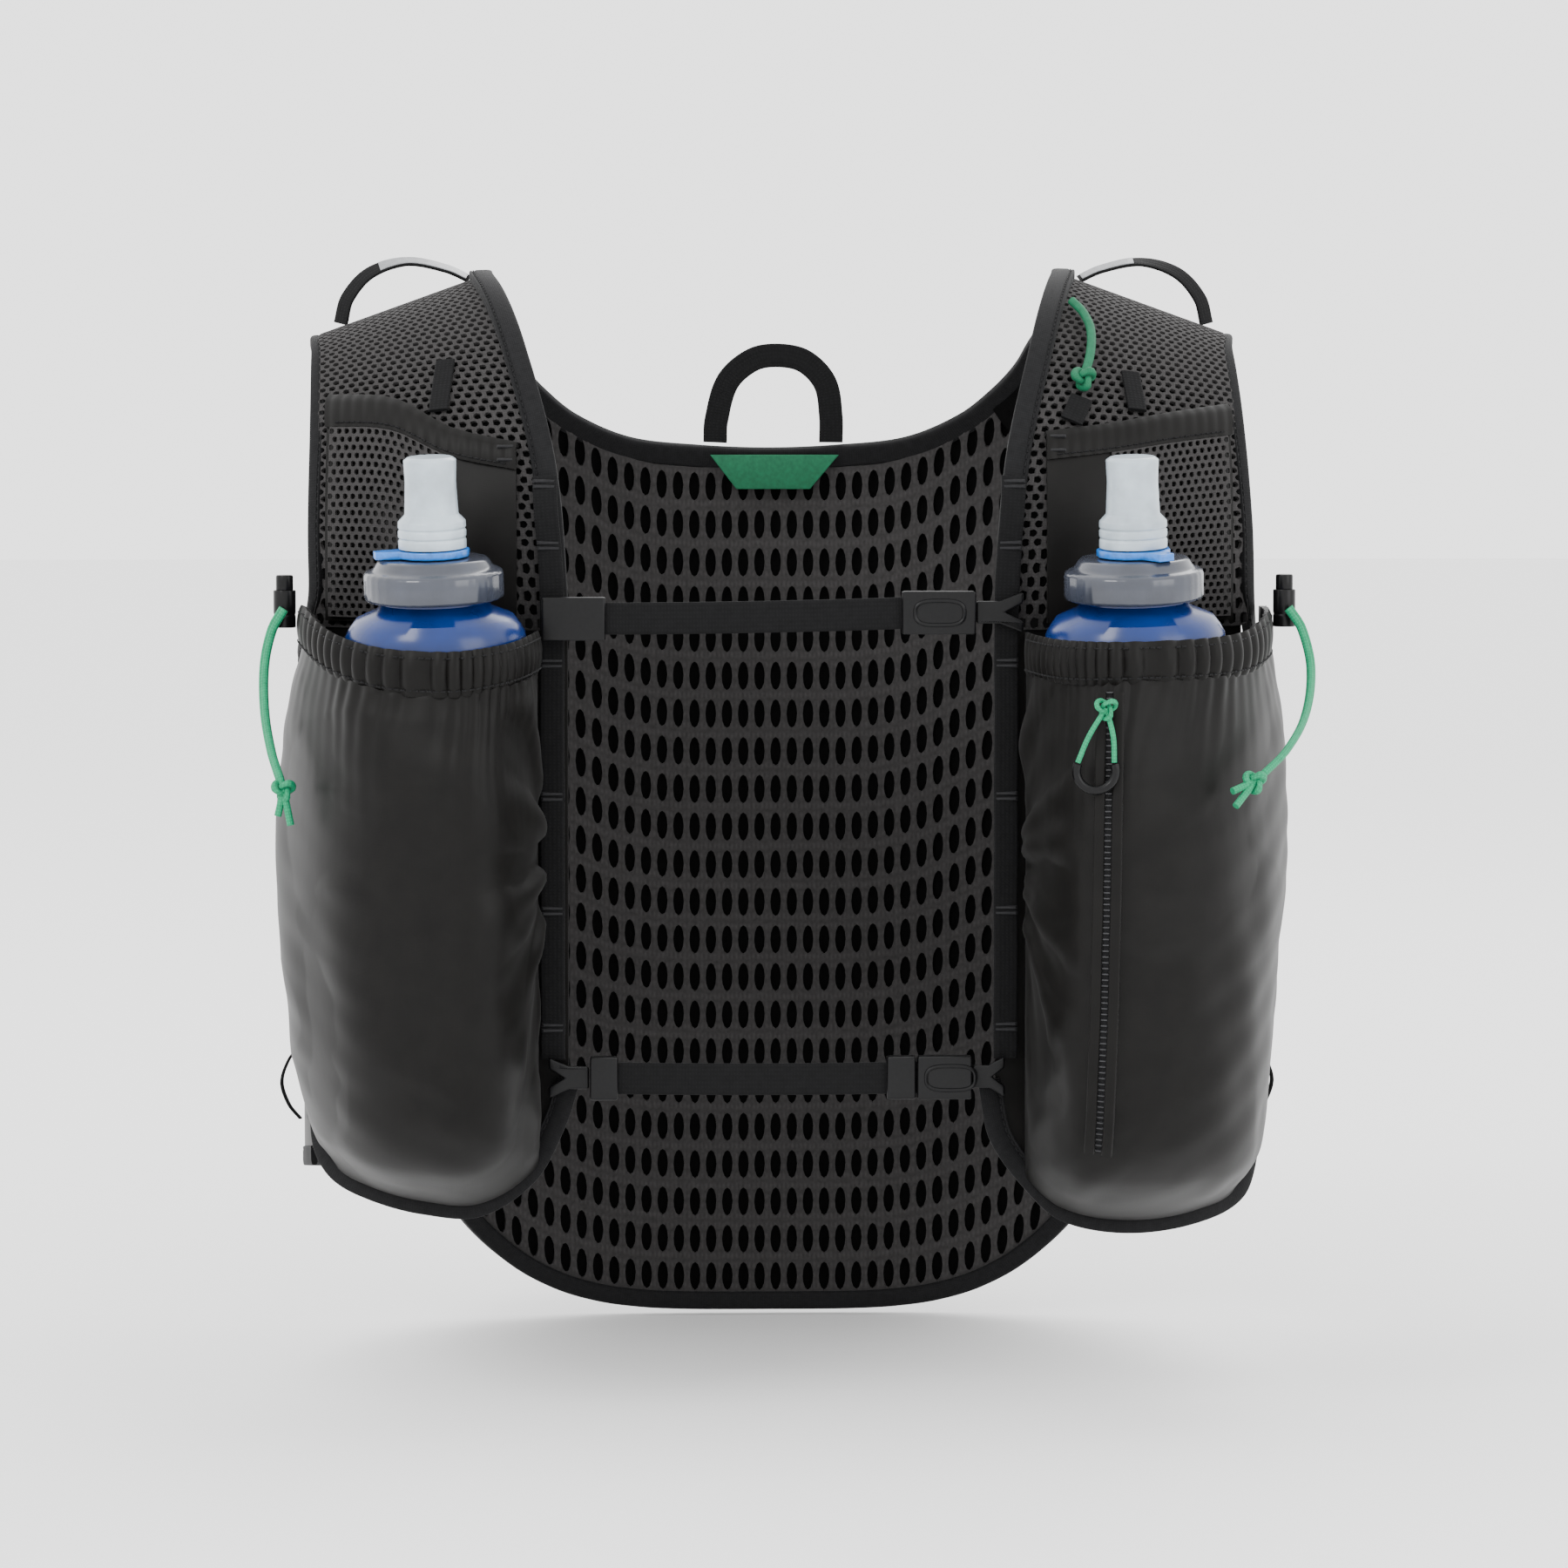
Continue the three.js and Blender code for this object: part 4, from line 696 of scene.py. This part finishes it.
def on_flask(side, p):
    """Points of an upright flask, tilted and moved to its place in the pocket."""
    x, y, z = p[..., 0], p[..., 1], p[..., 2]
    a, b = FLASK_TILT, -FLASK_LEAN
    x, z = x * math.cos(b) + z * math.sin(b), -x * math.sin(b) + z * math.cos(b)
    y, z = y * math.cos(a) - z * math.sin(a), y * math.sin(a) + z * math.cos(a)
    return np.stack([x + side * FLASK_SIDE, y - FLASK_FORWARD, z - CAP_LEVEL], -1)


def on_torso(rows, height):
    """Chest points for (x, z) rows, raised by a height."""
    rows = np.array(rows, float)
    p = on_chest(rows[:, 0], rows[:, 1])
    return p + torso_normal(p) * height


# Settings

class VestSizes(bpy.types.PropertyGroup):
    """Sizes that change the cloth's looks."""
    fold_depth: bpy.props.FloatProperty(
        name="Fold depth", description="Height of the pocket wrinkles", default=0.0019,
        min=0, max=0.004, unit="LENGTH")
    back_columns: bpy.props.IntProperty(
        name="Back net columns", description="Ovals across the back", default=42, min=10, max=60)
    back_rows: bpy.props.IntProperty(
        name="Back net rows", description="Ovals down the back", default=22, min=6, max=40)
    strap_cell: bpy.props.FloatProperty(
        name="Strap net cell", description="Width of a cell of the strap net", default=0.0034,
        min=0.002, max=0.01, unit="LENGTH")


def colour_setting(label, text, default):
    """A colour property."""
    return bpy.props.FloatVectorProperty(name=label, description=text, default=default, size=3,
                                         min=0, max=1, subtype="COLOR")


class VestColours(bpy.types.PropertyGroup):
    """Colours of the finishes."""
    cloth: colour_setting("Cloth", "Pockets and panels", (0.0040, 0.0037, 0.0034))
    net: colour_setting("Net", "Back and strap nets", (0.030, 0.0285, 0.0285))
    tape: colour_setting("Tape", "Edge bindings", (0.0085, 0.0085, 0.009))
    cord: colour_setting("Cord", "Drawcords and pulls", (0.009, 0.21, 0.095))
    flask: colour_setting("Flask", "Soft flasks", (0.0008, 0.020, 0.13))
    lever: colour_setting("Lever", "Valve levers", (0.003, 0.14, 0.52))


# Operators

class VEST_OT_stage(bpy.types.Operator):
    """Camera, pale floor and soft lights"""
    bl_idname = "vest.stage"
    bl_label = "Studio"

    def execute(self, context):
        camera = bpy.data.objects.new("camera", bpy.data.cameras.new("camera"))
        context.collection.objects.link(camera)
        camera.data.lens = 138.6
        camera.data.sensor_width = 36
        turn, rise, far = math.radians(-1.5), math.radians(4), 2.2
        target = (0.0035, 0, -0.1803)
        camera.location = (target[0] + far * math.cos(rise) * math.sin(turn),
                           -far * math.cos(rise) * math.cos(turn), target[2] + far * math.sin(rise))
        camera.rotation_euler = (math.pi / 2 - rise, 0, turn)
        context.scene.camera = camera
        floor = bpy.data.meshes.new("floor")
        corners = ((-1, -1), (1, -1), (1, 1), (-1, 1))
        floor.from_pydata([(x * FLOOR_HALF, y * FLOOR_HALF, FLOOR) for x, y in corners], [], [(0, 1, 2, 3)])
        plane = bpy.data.objects.new("floor", floor)
        pale = bpy.data.materials.new("floor_pale")
        pale.use_nodes = True
        shader = pale.node_tree.nodes["Principled BSDF"]
        shader.inputs["Base Color"].default_value = (0.9, 0.9, 0.9, 1)
        shader.inputs["Roughness"].default_value = 0.9
        floor.materials.append(pale)
        context.collection.objects.link(plane)
        lamps = (("key", (-1.3, -1.6, 1.3), 24, 0.8), ("fill", (1.6, -1.5, 0.5), 14, 1.2),
                 ("rim", (0.6, 1.6, 1.4), 12, 1.0))
        for name, place, power, size in lamps:
            light = bpy.data.lights.new(name, "AREA")
            light.energy, light.size = power, size
            lamp = bpy.data.objects.new(name, light)
            lamp.location = place
            away = np.array(place) - (0, 0, -0.18)
            lamp.rotation_euler = (math.acos(away[2] / np.linalg.norm(away)), 0,
                                   math.atan2(away[1], away[0]) + math.pi / 2)
            context.collection.objects.link(lamp)
        world = context.scene.world or bpy.data.worlds.new("studio")
        context.scene.world = world
        world.use_nodes = True
        back = world.node_tree.nodes["Background"]
        back.inputs["Color"].default_value = (1, 1, 1, 1)
        back.inputs["Strength"].default_value = 2.5
        return {"FINISHED"}


DRAWCORD = {
    "left": (((173, -97.8, -112), (177, -98, -119), (179.5, -102, -131), (179, -112, -146),
              (176, -127, -159), (172.5, -138, -168)), (170.5, -142, -172),
             ((168, -144, -184), (172.5, -142, -181))),
    "right": (((177, -97.8, -112), (181.5, -99, -119), (184, -106, -132), (180, -127, -147),
               (171, -151, -158), (162, -164, -165)), (158, -167, -168),
              ((150, -172, -171), (151, -173, -176))),
}
CORD_RADIUS = 1.25


class VEST_OT_cords(bpy.types.Operator):
    """Drawcords with their knots, and the knotted cord on the shoulder"""
    bl_idname = "vest.cords"
    bl_label = "Cords"

    def execute(self, context):
        for hand, side in SIDES.items():
            strand, knot, tails = (np.array(a, float) * (side, 1, 1) for a in DRAWCORD[hand])
            ball = knot_piece(f"drawcord_knot_{hand}", knot, 4.6, CORD_RADIUS, "green")
            ends = [tube_piece(f"drawcord_tail_{hand}_{k}", smooth([knot, tail], 8), CORD_RADIUS,
                               (1, 0, 0.2), "green") for k, tail in enumerate(tails)]
            for k, move in enumerate(((0, 0, 0), (-side, -2.9, -0.5))):
                path = smooth(np.concatenate([strand + move, [knot]]), 40)
                node = f"drawcord_{hand}" if k == 0 else None
                piece = tube_piece(f"drawcord_strand_{hand}_{k}", path, CORD_RADIUS, (1, 0, 0),
                                   "green", node=node)
        route = on_torso([(103, -11), (106.5, -15), (108.5, -21), (107.5, -29), (104.5, -37)], 5.9)
        path = smooth(route, 36)
        tube_piece("shoulder_cord_loop", path, 1.6, (0, -1, 0.3), "label",
                   node="shoulder_cord")
        knot_piece("shoulder_cord_knot", route[-1], 4.9, 1.5, "label")
        return {"FINISHED"}


class VEST_OT_back(bpy.types.Operator):
    """Oval net of the back and the plain layer behind it"""
    bl_idname = "vest.back"
    bl_label = "Back"

    def execute(self, context):
        sizes = context.scene.vest_sizes
        columns, rows = sizes.back_columns, sizes.back_rows
        surface = back_place(*grid(90, 100))
        net = net_piece("back_net", back_place, columns, rows, (0.66, 0.76), 0.6, 2.6, node="back_mesh")
        # Dark bars in the lining's colour between the rows stand in for the net's small slits: painted shade
        # where the gaps look dark, not cut holes.
        u, v = np.meshgrid(np.arange(1, columns) / columns, np.arange(1, rows) / rows)
        u, v = (a.reshape(-1, 1) + 0 * np.array([0, 0]) for a in (u, v))
        u = u + np.array([-0.85, 0.85]) / (2 * BACK_HALF)
        middle, normal = raised(back_place, u, v, 0 * u + 2.55)
        bars_piece("back_slits", middle.reshape(-1, 3), (0.0, 0, 1), normal.reshape(-1, 3),
                   (2.9, 0.6, 0.15), "lining")
        wave = 0.8 * folds(surface * (1, 1, 0.6), 70, 5)
        surface = surface + surface_normal(surface) * wave[..., None]
        sheet_piece("back_layer", surface, 4.8, 5.6, "nylon", "back_shell")
        sheet_piece("back_lining", back_place(*grid(60, 70)), 3.0, 3.4, "lining")
        for hand, side in SIDES.items():
            path = on_back(side * 130.5 + np.zeros(120), np.linspace(-92, -331, 120))
            tape_piece(f"back_seam_{hand}", path, torso_normal(path), section(-4.5, 4.5, 3.2, 7.4),
                       "tape")
        return {"FINISHED"}


class VEST_OT_straps(bpy.types.Operator):
    """Shoulder straps: net over a thin lining"""
    bl_idname = "vest.straps"
    bl_label = "Shoulder straps"

    def execute(self, context):
        cell = context.scene.vest_sizes.strap_cell / MM
        for hand in SIDES:
            place = strap_place(hand)
            surface = place(*grid(30, 90))
            across, down = run_along(surface, 0)[-1], run_along(surface, 1)[-1]
            sheet_piece(f"strap_lining_{hand}", surface, 0, 0.6, "lining")
            net = net_piece(f"strap_net_{hand}", place, int(across / cell), int(down / cell / 0.9),
                            (0.79, 0.83), 0.9, 2.3, 8, 0.25, f"shoulder_{hand}")
        return {"FINISHED"}


class VEST_OT_bindings(bpy.types.Operator):
    """Woven tape round the neck, the arms, the hem and the pockets' feet, with its stitching"""
    bl_idname = "vest.bindings"
    bl_label = "Bindings"

    def execute(self, context):
        share = np.array([0.47, 0.24, 0, -0.24, -0.47])
        middle = on_back(-share * NECK_HALF, -NECK_DROP * (1 - 0.29 * share**2))
        path = np.concatenate([edge_path("neck", "left", 24), middle,
                               edge_path("neck", "right", 24)[::-1]])
        path = smooth(path, 420)
        binding("neck", "", path, torso_normal(path), (8.4, 3.2), (6.9, 2.6), "neck_binding")
        for hand, side in SIDES.items():
            over = edge_path("arm", hand, 24)
            under = np.stack([side_bow(side, s, -128.0) for s in (0.82, 0.6, 0.4, 0.2)])
            normal = np.concatenate([torso_normal(over), np.tile((side, 0.0, 0.0), (4, 1))])
            rows = smooth(np.concatenate([np.concatenate([over, under]), normal], 1), 420, True)
            binding("arm", f"_{hand}", rows[:, :3], rows[:, 3:], (side * 6.2, 3.2), (side * 5, 2.6),
                    f"arm_binding_{hand}", closed=True)
            x, z = RIM[hand]
            p = on_chest(side * np.array(x) * POCKET_OUTER, -np.array(z) * POCKET_BOTTOM)
            rim = smooth(p + torso_normal(p) * 3.3, 120)
            binding("rim", f"_{hand}", rim, torso_normal(rim), (side * 8, 1.2), (side * 6.6, 0.8),
                    f"pocket_rim_{hand}")
        rows = []
        for side in (-1, 1):
            s = np.array([0.03, 0.12, 0.25, 0.5, 0.75, 0.97])
            p = side_bow(side, s, side_hem(s))
            n = np.stack([0 * s + side, lerp(-0.6, 0.9, s), 0 * s], -1)
            rows.append(np.concatenate([p, unit(n)], 1))
        x = np.linspace(-BACK_HALF, BACK_HALF, 17) * 0.99
        p = on_back(x, hem_height(x))
        back = np.concatenate([p, torso_normal(p)], 1)
        rows = smooth(np.concatenate([rows[0], back, rows[1][::-1]]), 420)
        path, normal = rows[:, :3], unit(rows[:, 3:])
        rings = tape_rings(path, normal, section(-7, 0, -1, 6.8, groove=-5.6))
        ends = np.minimum(np.arange(420), np.arange(420)[::-1]) / 110
        height = np.einsum("ijk,ik->ij", rings - path[:, None], normal)
        rings -= (height * (1 - np.clip(ends, 0.3, 1))[:, None])[..., None] * normal[:, None]
        loft_piece("hem_tape", rings, "tape", node="hem_binding")
        return {"FINISHED"}


UPPER_TOP = {"left": (0.46, 0.42, 0.345, 0.335), "right": (0.43, 0.41, 0.385, 0.36)}


class VEST_OT_panels(bpy.types.Operator):
    """Cloth under the arms and behind the flask pockets"""
    bl_idname = "vest.panels"
    bl_label = "Panels"

    def execute(self, context):
        u, v = grid(80, 80)
        for hand, side in SIDES.items():
            share = lerp(0.02, 0.99, u)
            top = hermite((0, 0.15, 0.85, 1), (126, 137, 137, 130), share)
            surface = side_bow(side, share, lerp(-top, side_hem(share) + 6, v)) + (side * 0.3, 0, 0)
            wave = 0.9 * folds(surface * (1, 1, 0.5), 50, 11) * np.sin(np.pi * u) * np.sin(np.pi * v)
            surface[..., 0] += side * wave
            sheet_piece(f"side_cloth_{hand}", surface, 0, 1.2, "nylon",
                        f"side_panel_{hand}")
            x = lerp(74, 161.5, u)
            surface = on_chest(side * x, lerp(-114, 1 - rim_drop(hand, x), v))
            sheet_piece(f"chest_cloth_{hand}", surface, 0, 1.6, "nylon",
                        f"front_panel_{hand}")
        return {"FINISHED"}


class VEST_OT_flask_pockets(bpy.types.Operator):
    """Wrinkled flask pockets with their gathered hems"""
    bl_idname = "vest.flask_pockets"
    bl_label = "Flask pockets"

    def execute(self, context):
        depth = context.scene.vest_sizes.fold_depth / MM
        for hand, side in SIDES.items():
            place = pocket_place(hand)
            u, v = grid(190, 170)
            u = u + 0.012 * np.sin(4 * np.pi * u)
            surface, _ = raised(place, u, v, pocket_relief(hand, u, v, depth))
            sheet_piece(f"pocket_wall_{hand}", surface, 0, 1.2, "nylon",
                        f"flask_pocket_{hand}")
            u, v = grid(420, 16)
            flat = np.stack([u * 190, v * 2, 0 * u], -1)
            strong = 0.35 + 0.9 * np.exp(-((u - 0.55) / 0.3) ** 2)
            pleats = np.sin(u * 2 * np.pi * 30 + 2.2 * folds(flat, 45, 21 + side))
            puff = (0.9 * strong * pleats * (0.5 + 0.5 * np.sin(np.pi * v))
                    + 1.1 * np.sin(np.pi * v) ** 0.6) * np.minimum(1, np.minimum(u, 1 - u) / 0.02)
            surface, _ = raised(hem_place(hand), u, v, puff)
            sheet_piece(f"pocket_mouth_{hand}", surface, 0, 1.6, "nylon",
                        f"pocket_hem_{hand}")
            for k, level in enumerate((0.12, 0.9)):
                at = np.linspace(0.03, 0.97, 300)
                line, normal = raised(hem_place(hand), at, 0 * at + level, 0 * at)
                seam_piece(f"mouth_stitches_{hand}_{k}", line, normal, 0, 2.4 + k * 0.2, 2.4)
        return {"FINISHED"}


class VEST_OT_upper_pockets(bpy.types.Operator):
    """Flat strap pockets with a net window, a folded hem and bar tacks"""
    bl_idname = "vest.upper_pockets"
    bl_label = "Upper pockets"

    def execute(self, context):
        for hand, side in SIDES.items():
            def place(u, v):
                top = MOUTH_DROP * hermite((0, 0.35, 0.65, 1), UPPER_TOP[hand], u)
                return on_chest(side * lerp(91, 156, u), -lerp(top, 117, v))
            u, v = grid(60, 60)
            relief = 1.2 * folds(place(u, v), 38, 31 + side) * np.sin(np.pi * u) * np.sin(np.pi * v)
            surface, _ = raised(place, u, v, 3.5 + relief)
            sheet_piece(f"strap_pocket_{hand}", surface, 0, 1, "nylon",
                        f"upper_pocket_{hand}")

            def window(u, v):
                return place(lerp(0.34, 0.97, u), lerp(0.14, 0.98, v))
            net = net_piece(f"pocket_net_{hand}", window, 16, 24, (0.74, 0.74), 5.2, 6.0, 8, 0.25)
            u, v = grid(160, 10)
            fold = 0.1 * np.sin(u * 2 * np.pi * 16 + folds(np.stack([u * 65, v, u], -1), 30, 5))
            band, _ = raised(place, u, lerp(-0.01, 0.135, v), 4.4 + fold + 0.6 * np.sin(np.pi * v))
            sheet_piece(f"strap_pocket_hem_{hand}", band, 0, 1.3, "nylon")
            at = np.linspace(0.03, 0.97, 80)
            line, normal = raised(place, at, 0 * at + 0.12, 0 * at + 6.0)
            seam_piece(f"strap_pocket_stitches_{hand}", line, normal, 0, 0, 2.4)
            corner, normal = raised(place, np.array([0.05, 0.05]), np.array([0.03, 0.1]),
                                    np.array([6.3, 6.3]))
            bars_piece(f"strap_pocket_tacks_{hand}", corner, (1.0, 0, 0), normal, (6, 1.2, 0.6), "thread")
        return {"FINISHED"}


FLASK_ROWS = ((0.035, 0.07, 0.14, 0.5, 0.85, 0.96, 1), (0.83, 0.97, 1, 1, 0.97, 0.86, 0.62),
              (0.84, 0.94, 1, 1, 0.86, 0.76, 0.5))


class VEST_OT_flasks(bpy.types.Operator):
    """Soft flasks with their caps, bite valves and levers"""
    bl_idname = "vest.flasks"
    bl_label = "Flasks"

    def execute(self, context):
        for hand, side in SIDES.items():
            down = np.linspace(1, 0.035, 60)
            width, depth = (hermite(FLASK_ROWS[0], row, down) for row in FLASK_ROWS[1:])
            angle = np.arange(96) * 2 * np.pi / 96
            broad = 1 + 0.18 * np.exp(-(down[:, None] / 0.16) ** 2)
            body = np.stack([27.4 * broad * width[:, None] * np.cos(angle),
                             28.4 * broad * depth[:, None] * np.sin(angle), -178 * down[:, None] + 0 * angle],
                            -1)
            body += 0.2 * folds(body, 55, 41 + side)[..., None] * (np.cos(angle)[:, None] * (1, 0, 0)
                                                                  + np.sin(angle)[:, None] * (0, 1, 0))
            neck = turned(np.array([(20, -3.2), (18, -1.2), (18, 7.6)], float), 96)
            loft_piece(f"soft_flask_{hand}", on_flask(side, np.concatenate([body, neck])), "flask",
                       node=f"flask_{hand}")
            line = [(18.8, 9), (18.8, 0), (23.7, 0), (23.7, 9.5), (20.5, 10.5), (18.5, 14), (4, 14)]
            rings = turned(eased_line(line, 1.1), 144, 36, 0.003, 22)
            loft_piece(f"screw_cap_{hand}", on_flask(side, rings), "cap", node=f"cap_{hand}",
                       sharp=60)
            line = [(3, 14.3), (8, 14.3), (8, 17.4), (11.6, 17.4), (11.6, 20.2), (11.1, 20.8),
                    (11.6, 21.4), (11.6, 23.4), (11.1, 24), (11.6, 24.6), (11.5, 26.6), (9.2, 29),
                    (9, 33), (8.7, 40), (9, 47.4), (7.6, 48.4), (2, 48.2)]
            loft_piece(f"mouthpiece_{hand}", on_flask(side, turned(eased_line(line, 0.25))), "valve",
                       node=f"bite_valve_{hand}",
                       sharp=60)
            eased_piece(f"valve_lever_{hand}", "lever", 0.5)
        return {"FINISHED"}


TACKS = (-68, -89.5, -130, -175.5, -215, -256)
DAISY_X = {"left": 78.75, "right": 76.75}
BRIGHT_END = {"left": 10, "right": -2.5}
TUBE_TAB = {"left": [(-116, -30), (-118, -46.5)], "right": [(122, -34), (123.5, -46.5)]}
LOCK_X = {"left": 172.6, "right": 175.8}
# name, x and z of both ends
CHEST_WEBS = (("upper", -79.5, 47, -115, -113), ("lower", -63.5, 53, -274, -274))


class VEST_OT_webbing(bpy.types.Operator):
    """Daisy webbing with bar tacks, chest straps, ribbon loops and tabs"""
    bl_idname = "vest.webbing"
    bl_label = "Webbing"

    def execute(self, context):
        for hand, side in SIDES.items():
            z = np.linspace(-66, -268, 220)
            lean = np.clip((z + 110) / 44, 0, 1)
            normal = unit(np.tile((side * 0.12, -1, 0), (220, 1)))
            path = on_chest(side * (DAISY_X[hand] + 2.5 * lean**2 * (3 - 2 * lean)), z)
            stops = np.array((-62, *TACKS[1:], -272))[::-1]
            share = np.interp(z, stops, np.arange(len(stops)))
            path += normal * (0.9 * np.abs(np.sin(np.pi * share)))[:, None]
            tape_piece(f"daisy_webbing_{hand}", path, normal, section(-4.2, 4.2, 4.1, 5.7),
                       "webbing", node=f"webbing_{hand}")
            where = np.array([np.argmin(np.abs(z - t)) for t in TACKS])
            where = np.concatenate([where, where + 2])
            bars_piece(f"webbing_tacks_{hand}", path[where] + normal[where] * 5.5, (1.0, 0, 0),
                       normal[where], (8.2, 1.3, 0.7), "thread")
            out, up = np.array([(-22, 2.7), (-14, 6.2), (0, 8.7), (13, 4.8), (21, -4),
                                (23.5, -13.1)], float).T
            path = smooth(np.stack([side * (133 + out), 0 * out, up], -1), 90)
            away = unit(np.stack([path[:, 0] - side * 133, 0 * path[:, 0], path[:, 2] + 16], -1))
            lean = np.interp(path[:, 0] * side - 133, (-22, 0, 24), (0.3, 0.4, 1.0))
            away = unit(away + lean[:, None] * (0, -1, 0))
            ribbon(f"shoulder_ribbon_{hand}", path, away, 3.5, f"shoulder_loop_{hand}")
            bright = path[:, 0] * side - 133 < BRIGHT_END[hand]
            tape_piece(f"bright_ribbon_{hand}", path[bright][2:], away[bright][2:],
                       section(-2.9, 2.9, 1.1, 1.5, 16), "reflective")
            path = smooth(on_torso(TUBE_TAB[hand], 3.4), 30)
            ribbon(f"tube_tab_{hand}", path, torso_normal(path), 3.5, f"hose_tab_{hand}")
            out, down = np.array([(0, 0), (4, 5), (6.5, 13), (4, 21), (0, 26)], float).T
            path = smooth(np.stack([side * (169.8 + out), 0 * out - 50, -270 - down], -1), 60)
            ribbon(f"side_ribbon_{hand}", path, (side, 0, 0), 2.2, f"side_loop_{hand}")
        for name, x0, x1, z0, z1 in CHEST_WEBS:
            t = np.linspace(0, 1, 120)
            path = np.stack([lerp(x0, x1, t), 0 * t - 115.6, lerp(z0, z1, t) - 2.4 * t * (1 - t)], -1)
            ribbon(f"chest_web_{name}", path, (0, -1, 0), 5.5, f"chest_strap_{name}", 1.6)
        path = smooth(on_torso([(104, -42.5), (100, -50)], 3.7), 20)
        ribbon("cord_tab_ribbon", path, torso_normal(path), 4, "cord_tab")
        across, up = np.array([(-1, 0), (-0.98, 0.25), (-0.78, 0.7), (-0.35, 0.95), (0.1, 1),
                               (0.55, 0.93), (0.9, 0.68), (1, 0.3), (1, 0)]).T
        path = smooth(np.stack([2 + across * 22, 0 * up + 103.5, -57.4 + up * 33], -1), 120)
        ribbon("hang_ribbon", path, (0, -1, 0), 4.5, "hang_loop")
        return {"FINISHED"}


class VEST_OT_hardware(bpy.types.Operator):
    """Moulded buckles, hooks and locks, the label and the zip"""
    bl_idname = "vest.hardware"
    bl_label = "Hardware"

    def execute(self, context):
        for node in ("strap_keeper", "buckle_upper", "buckle_lower", "hook_upper",
                     "hook_lower_left", "hook_lower_right", "strap_ring_lower", "glider_lower"):
            eased_piece(node, "plastic", 0.8)
        eased_piece("neck_label", "label", 0.3)
        for name, x, z in (("upper", 54, -113), ("lower", 58, -274)):
            turn = np.linspace(0, 2 * np.pi, 48, endpoint=False)
            ring = np.stack([x + 8.5 * np.sign(np.cos(turn)) * np.abs(np.cos(turn)) ** 0.6,
                             0 * turn - 120.2, z + 4.2 * np.sign(np.sin(turn)) * np.abs(np.sin(turn)) ** 0.7],
                            -1)
            tape_piece(f"buckle_rib_{name}", ring, (0, -1, 0), circle(0.7, 8), "plastic", closed=True)
        for hand, side in SIDES.items():
            move = np.array((side * LOCK_X[hand], -92, -119))
            line = [(0.5, 0), (3.9, 0), (3.9, 4), (3.6, 4.5), (3.9, 5), (3.9, 13), (3.3, 13), (3.3, 8),
                    (0.5, 8)]
            loft_piece(f"lock_barrel_{hand}", turned(eased_line(line, 0.3), 40) + move, "plastic",
                       node=f"cord_lock_{hand}")
            line = [(0.5, 11.3), (3, 11.3), (3, 18.3), (0.5, 18.3)]
            loft_piece(f"lock_plunger_{hand}", turned(eased_line(line, 0.6), 40) + move, "plastic",
                       node=f"lock_button_{hand}")
        depth = context.scene.vest_sizes.fold_depth / MM
        v = np.linspace(0.02, 0.84, 160)
        u = 0.42 - 0.02 * v
        place = pocket_place("right")
        path, normal = raised(place, u, v, pocket_relief("right", u, v, depth) * 0.5 + 0.5)
        for k, across in enumerate((-3, 3)):
            tape_piece(f"zip_welt_{k}", path, normal, section(across - 1.8, across + 1.8, 1.6, 4.0, 16),
                       "nylon", node="zip_tape" if k == 0 else None)
        tape_piece("zip_ground", path, normal, section(-3, 3, 1.2, 2.6, 16), "tape")
        bars_piece("zip_teeth", path[::2] + normal[::2] * 2.5, np.cross(heading(path), normal)[::2],
                   normal[::2], (2.6, 0.8, 0.6), "tooth")
        front = float(place(np.array([0.42]), np.array([0.2]))[0, 1]) - 2.2 - 1.6 - 1.5 - 0.6
        turn = np.radians(np.linspace(160, 380, 50))
        ring = np.stack([102.7 + 6.5 * np.cos(turn), 0 * turn + front, -163 + 6.5 * np.sin(turn)], -1)
        tube_piece("pull_wire", ring, 1.5, (0, -1, 0), "plastic", node="pull_ring")
        knot = np.array((106, front, -142.0))
        knot_piece("pull_knot", knot, 4.4, 0.9, "green", node="zip_cord")
        for k, end in enumerate((ring[0], ring[-1])):
            middle = (knot + end) / 2 + (np.sign(end[0] - 102), 0, 0)
            tube_piece(f"pull_strand_{k}", smooth([knot, middle, end + (0, 0, 0.6)], 16), 0.9,
                       (0, -1, 0), "green")
        return {"FINISHED"}


OPERATORS = (VEST_OT_stage, VEST_OT_cords, VEST_OT_back, VEST_OT_straps, VEST_OT_bindings,
             VEST_OT_panels, VEST_OT_flask_pockets, VEST_OT_upper_pockets, VEST_OT_flasks,
             VEST_OT_webbing, VEST_OT_hardware)


class VEST_PT_parts(bpy.types.Panel):
    """Lists the makers of the vest's pieces."""
    bl_idname = "VEST_PT_parts"
    bl_label = "Running vest"
    bl_space_type = "VIEW_3D"
    bl_region_type = "UI"
    bl_category = "Vest"

    def draw(self, context):
        for settings in (context.scene.vest_sizes, context.scene.vest_colours):
            for key in settings.bl_rna.properties.keys():
                if key not in ("rna_type", "name"):
                    self.layout.prop(settings, key)
        for operator in OPERATORS:
            self.layout.operator(operator.bl_idname)


CLASSES = (VestSizes, VestColours, *OPERATORS, VEST_PT_parts)


def register():
    for cls in CLASSES:
        bpy.utils.register_class(cls)
    bpy.types.Scene.vest_sizes = bpy.props.PointerProperty(type=VestSizes)
    bpy.types.Scene.vest_colours = bpy.props.PointerProperty(type=VestColours)


def unregister():
    del bpy.types.Scene.vest_colours
    del bpy.types.Scene.vest_sizes
    for cls in reversed(CLASSES):
        bpy.utils.unregister_class(cls)


def main():
    register()
    for operator in OPERATORS:
        getattr(bpy.ops.vest, operator.bl_idname.split(".")[1])()


if __name__ == "__main__":
    main()
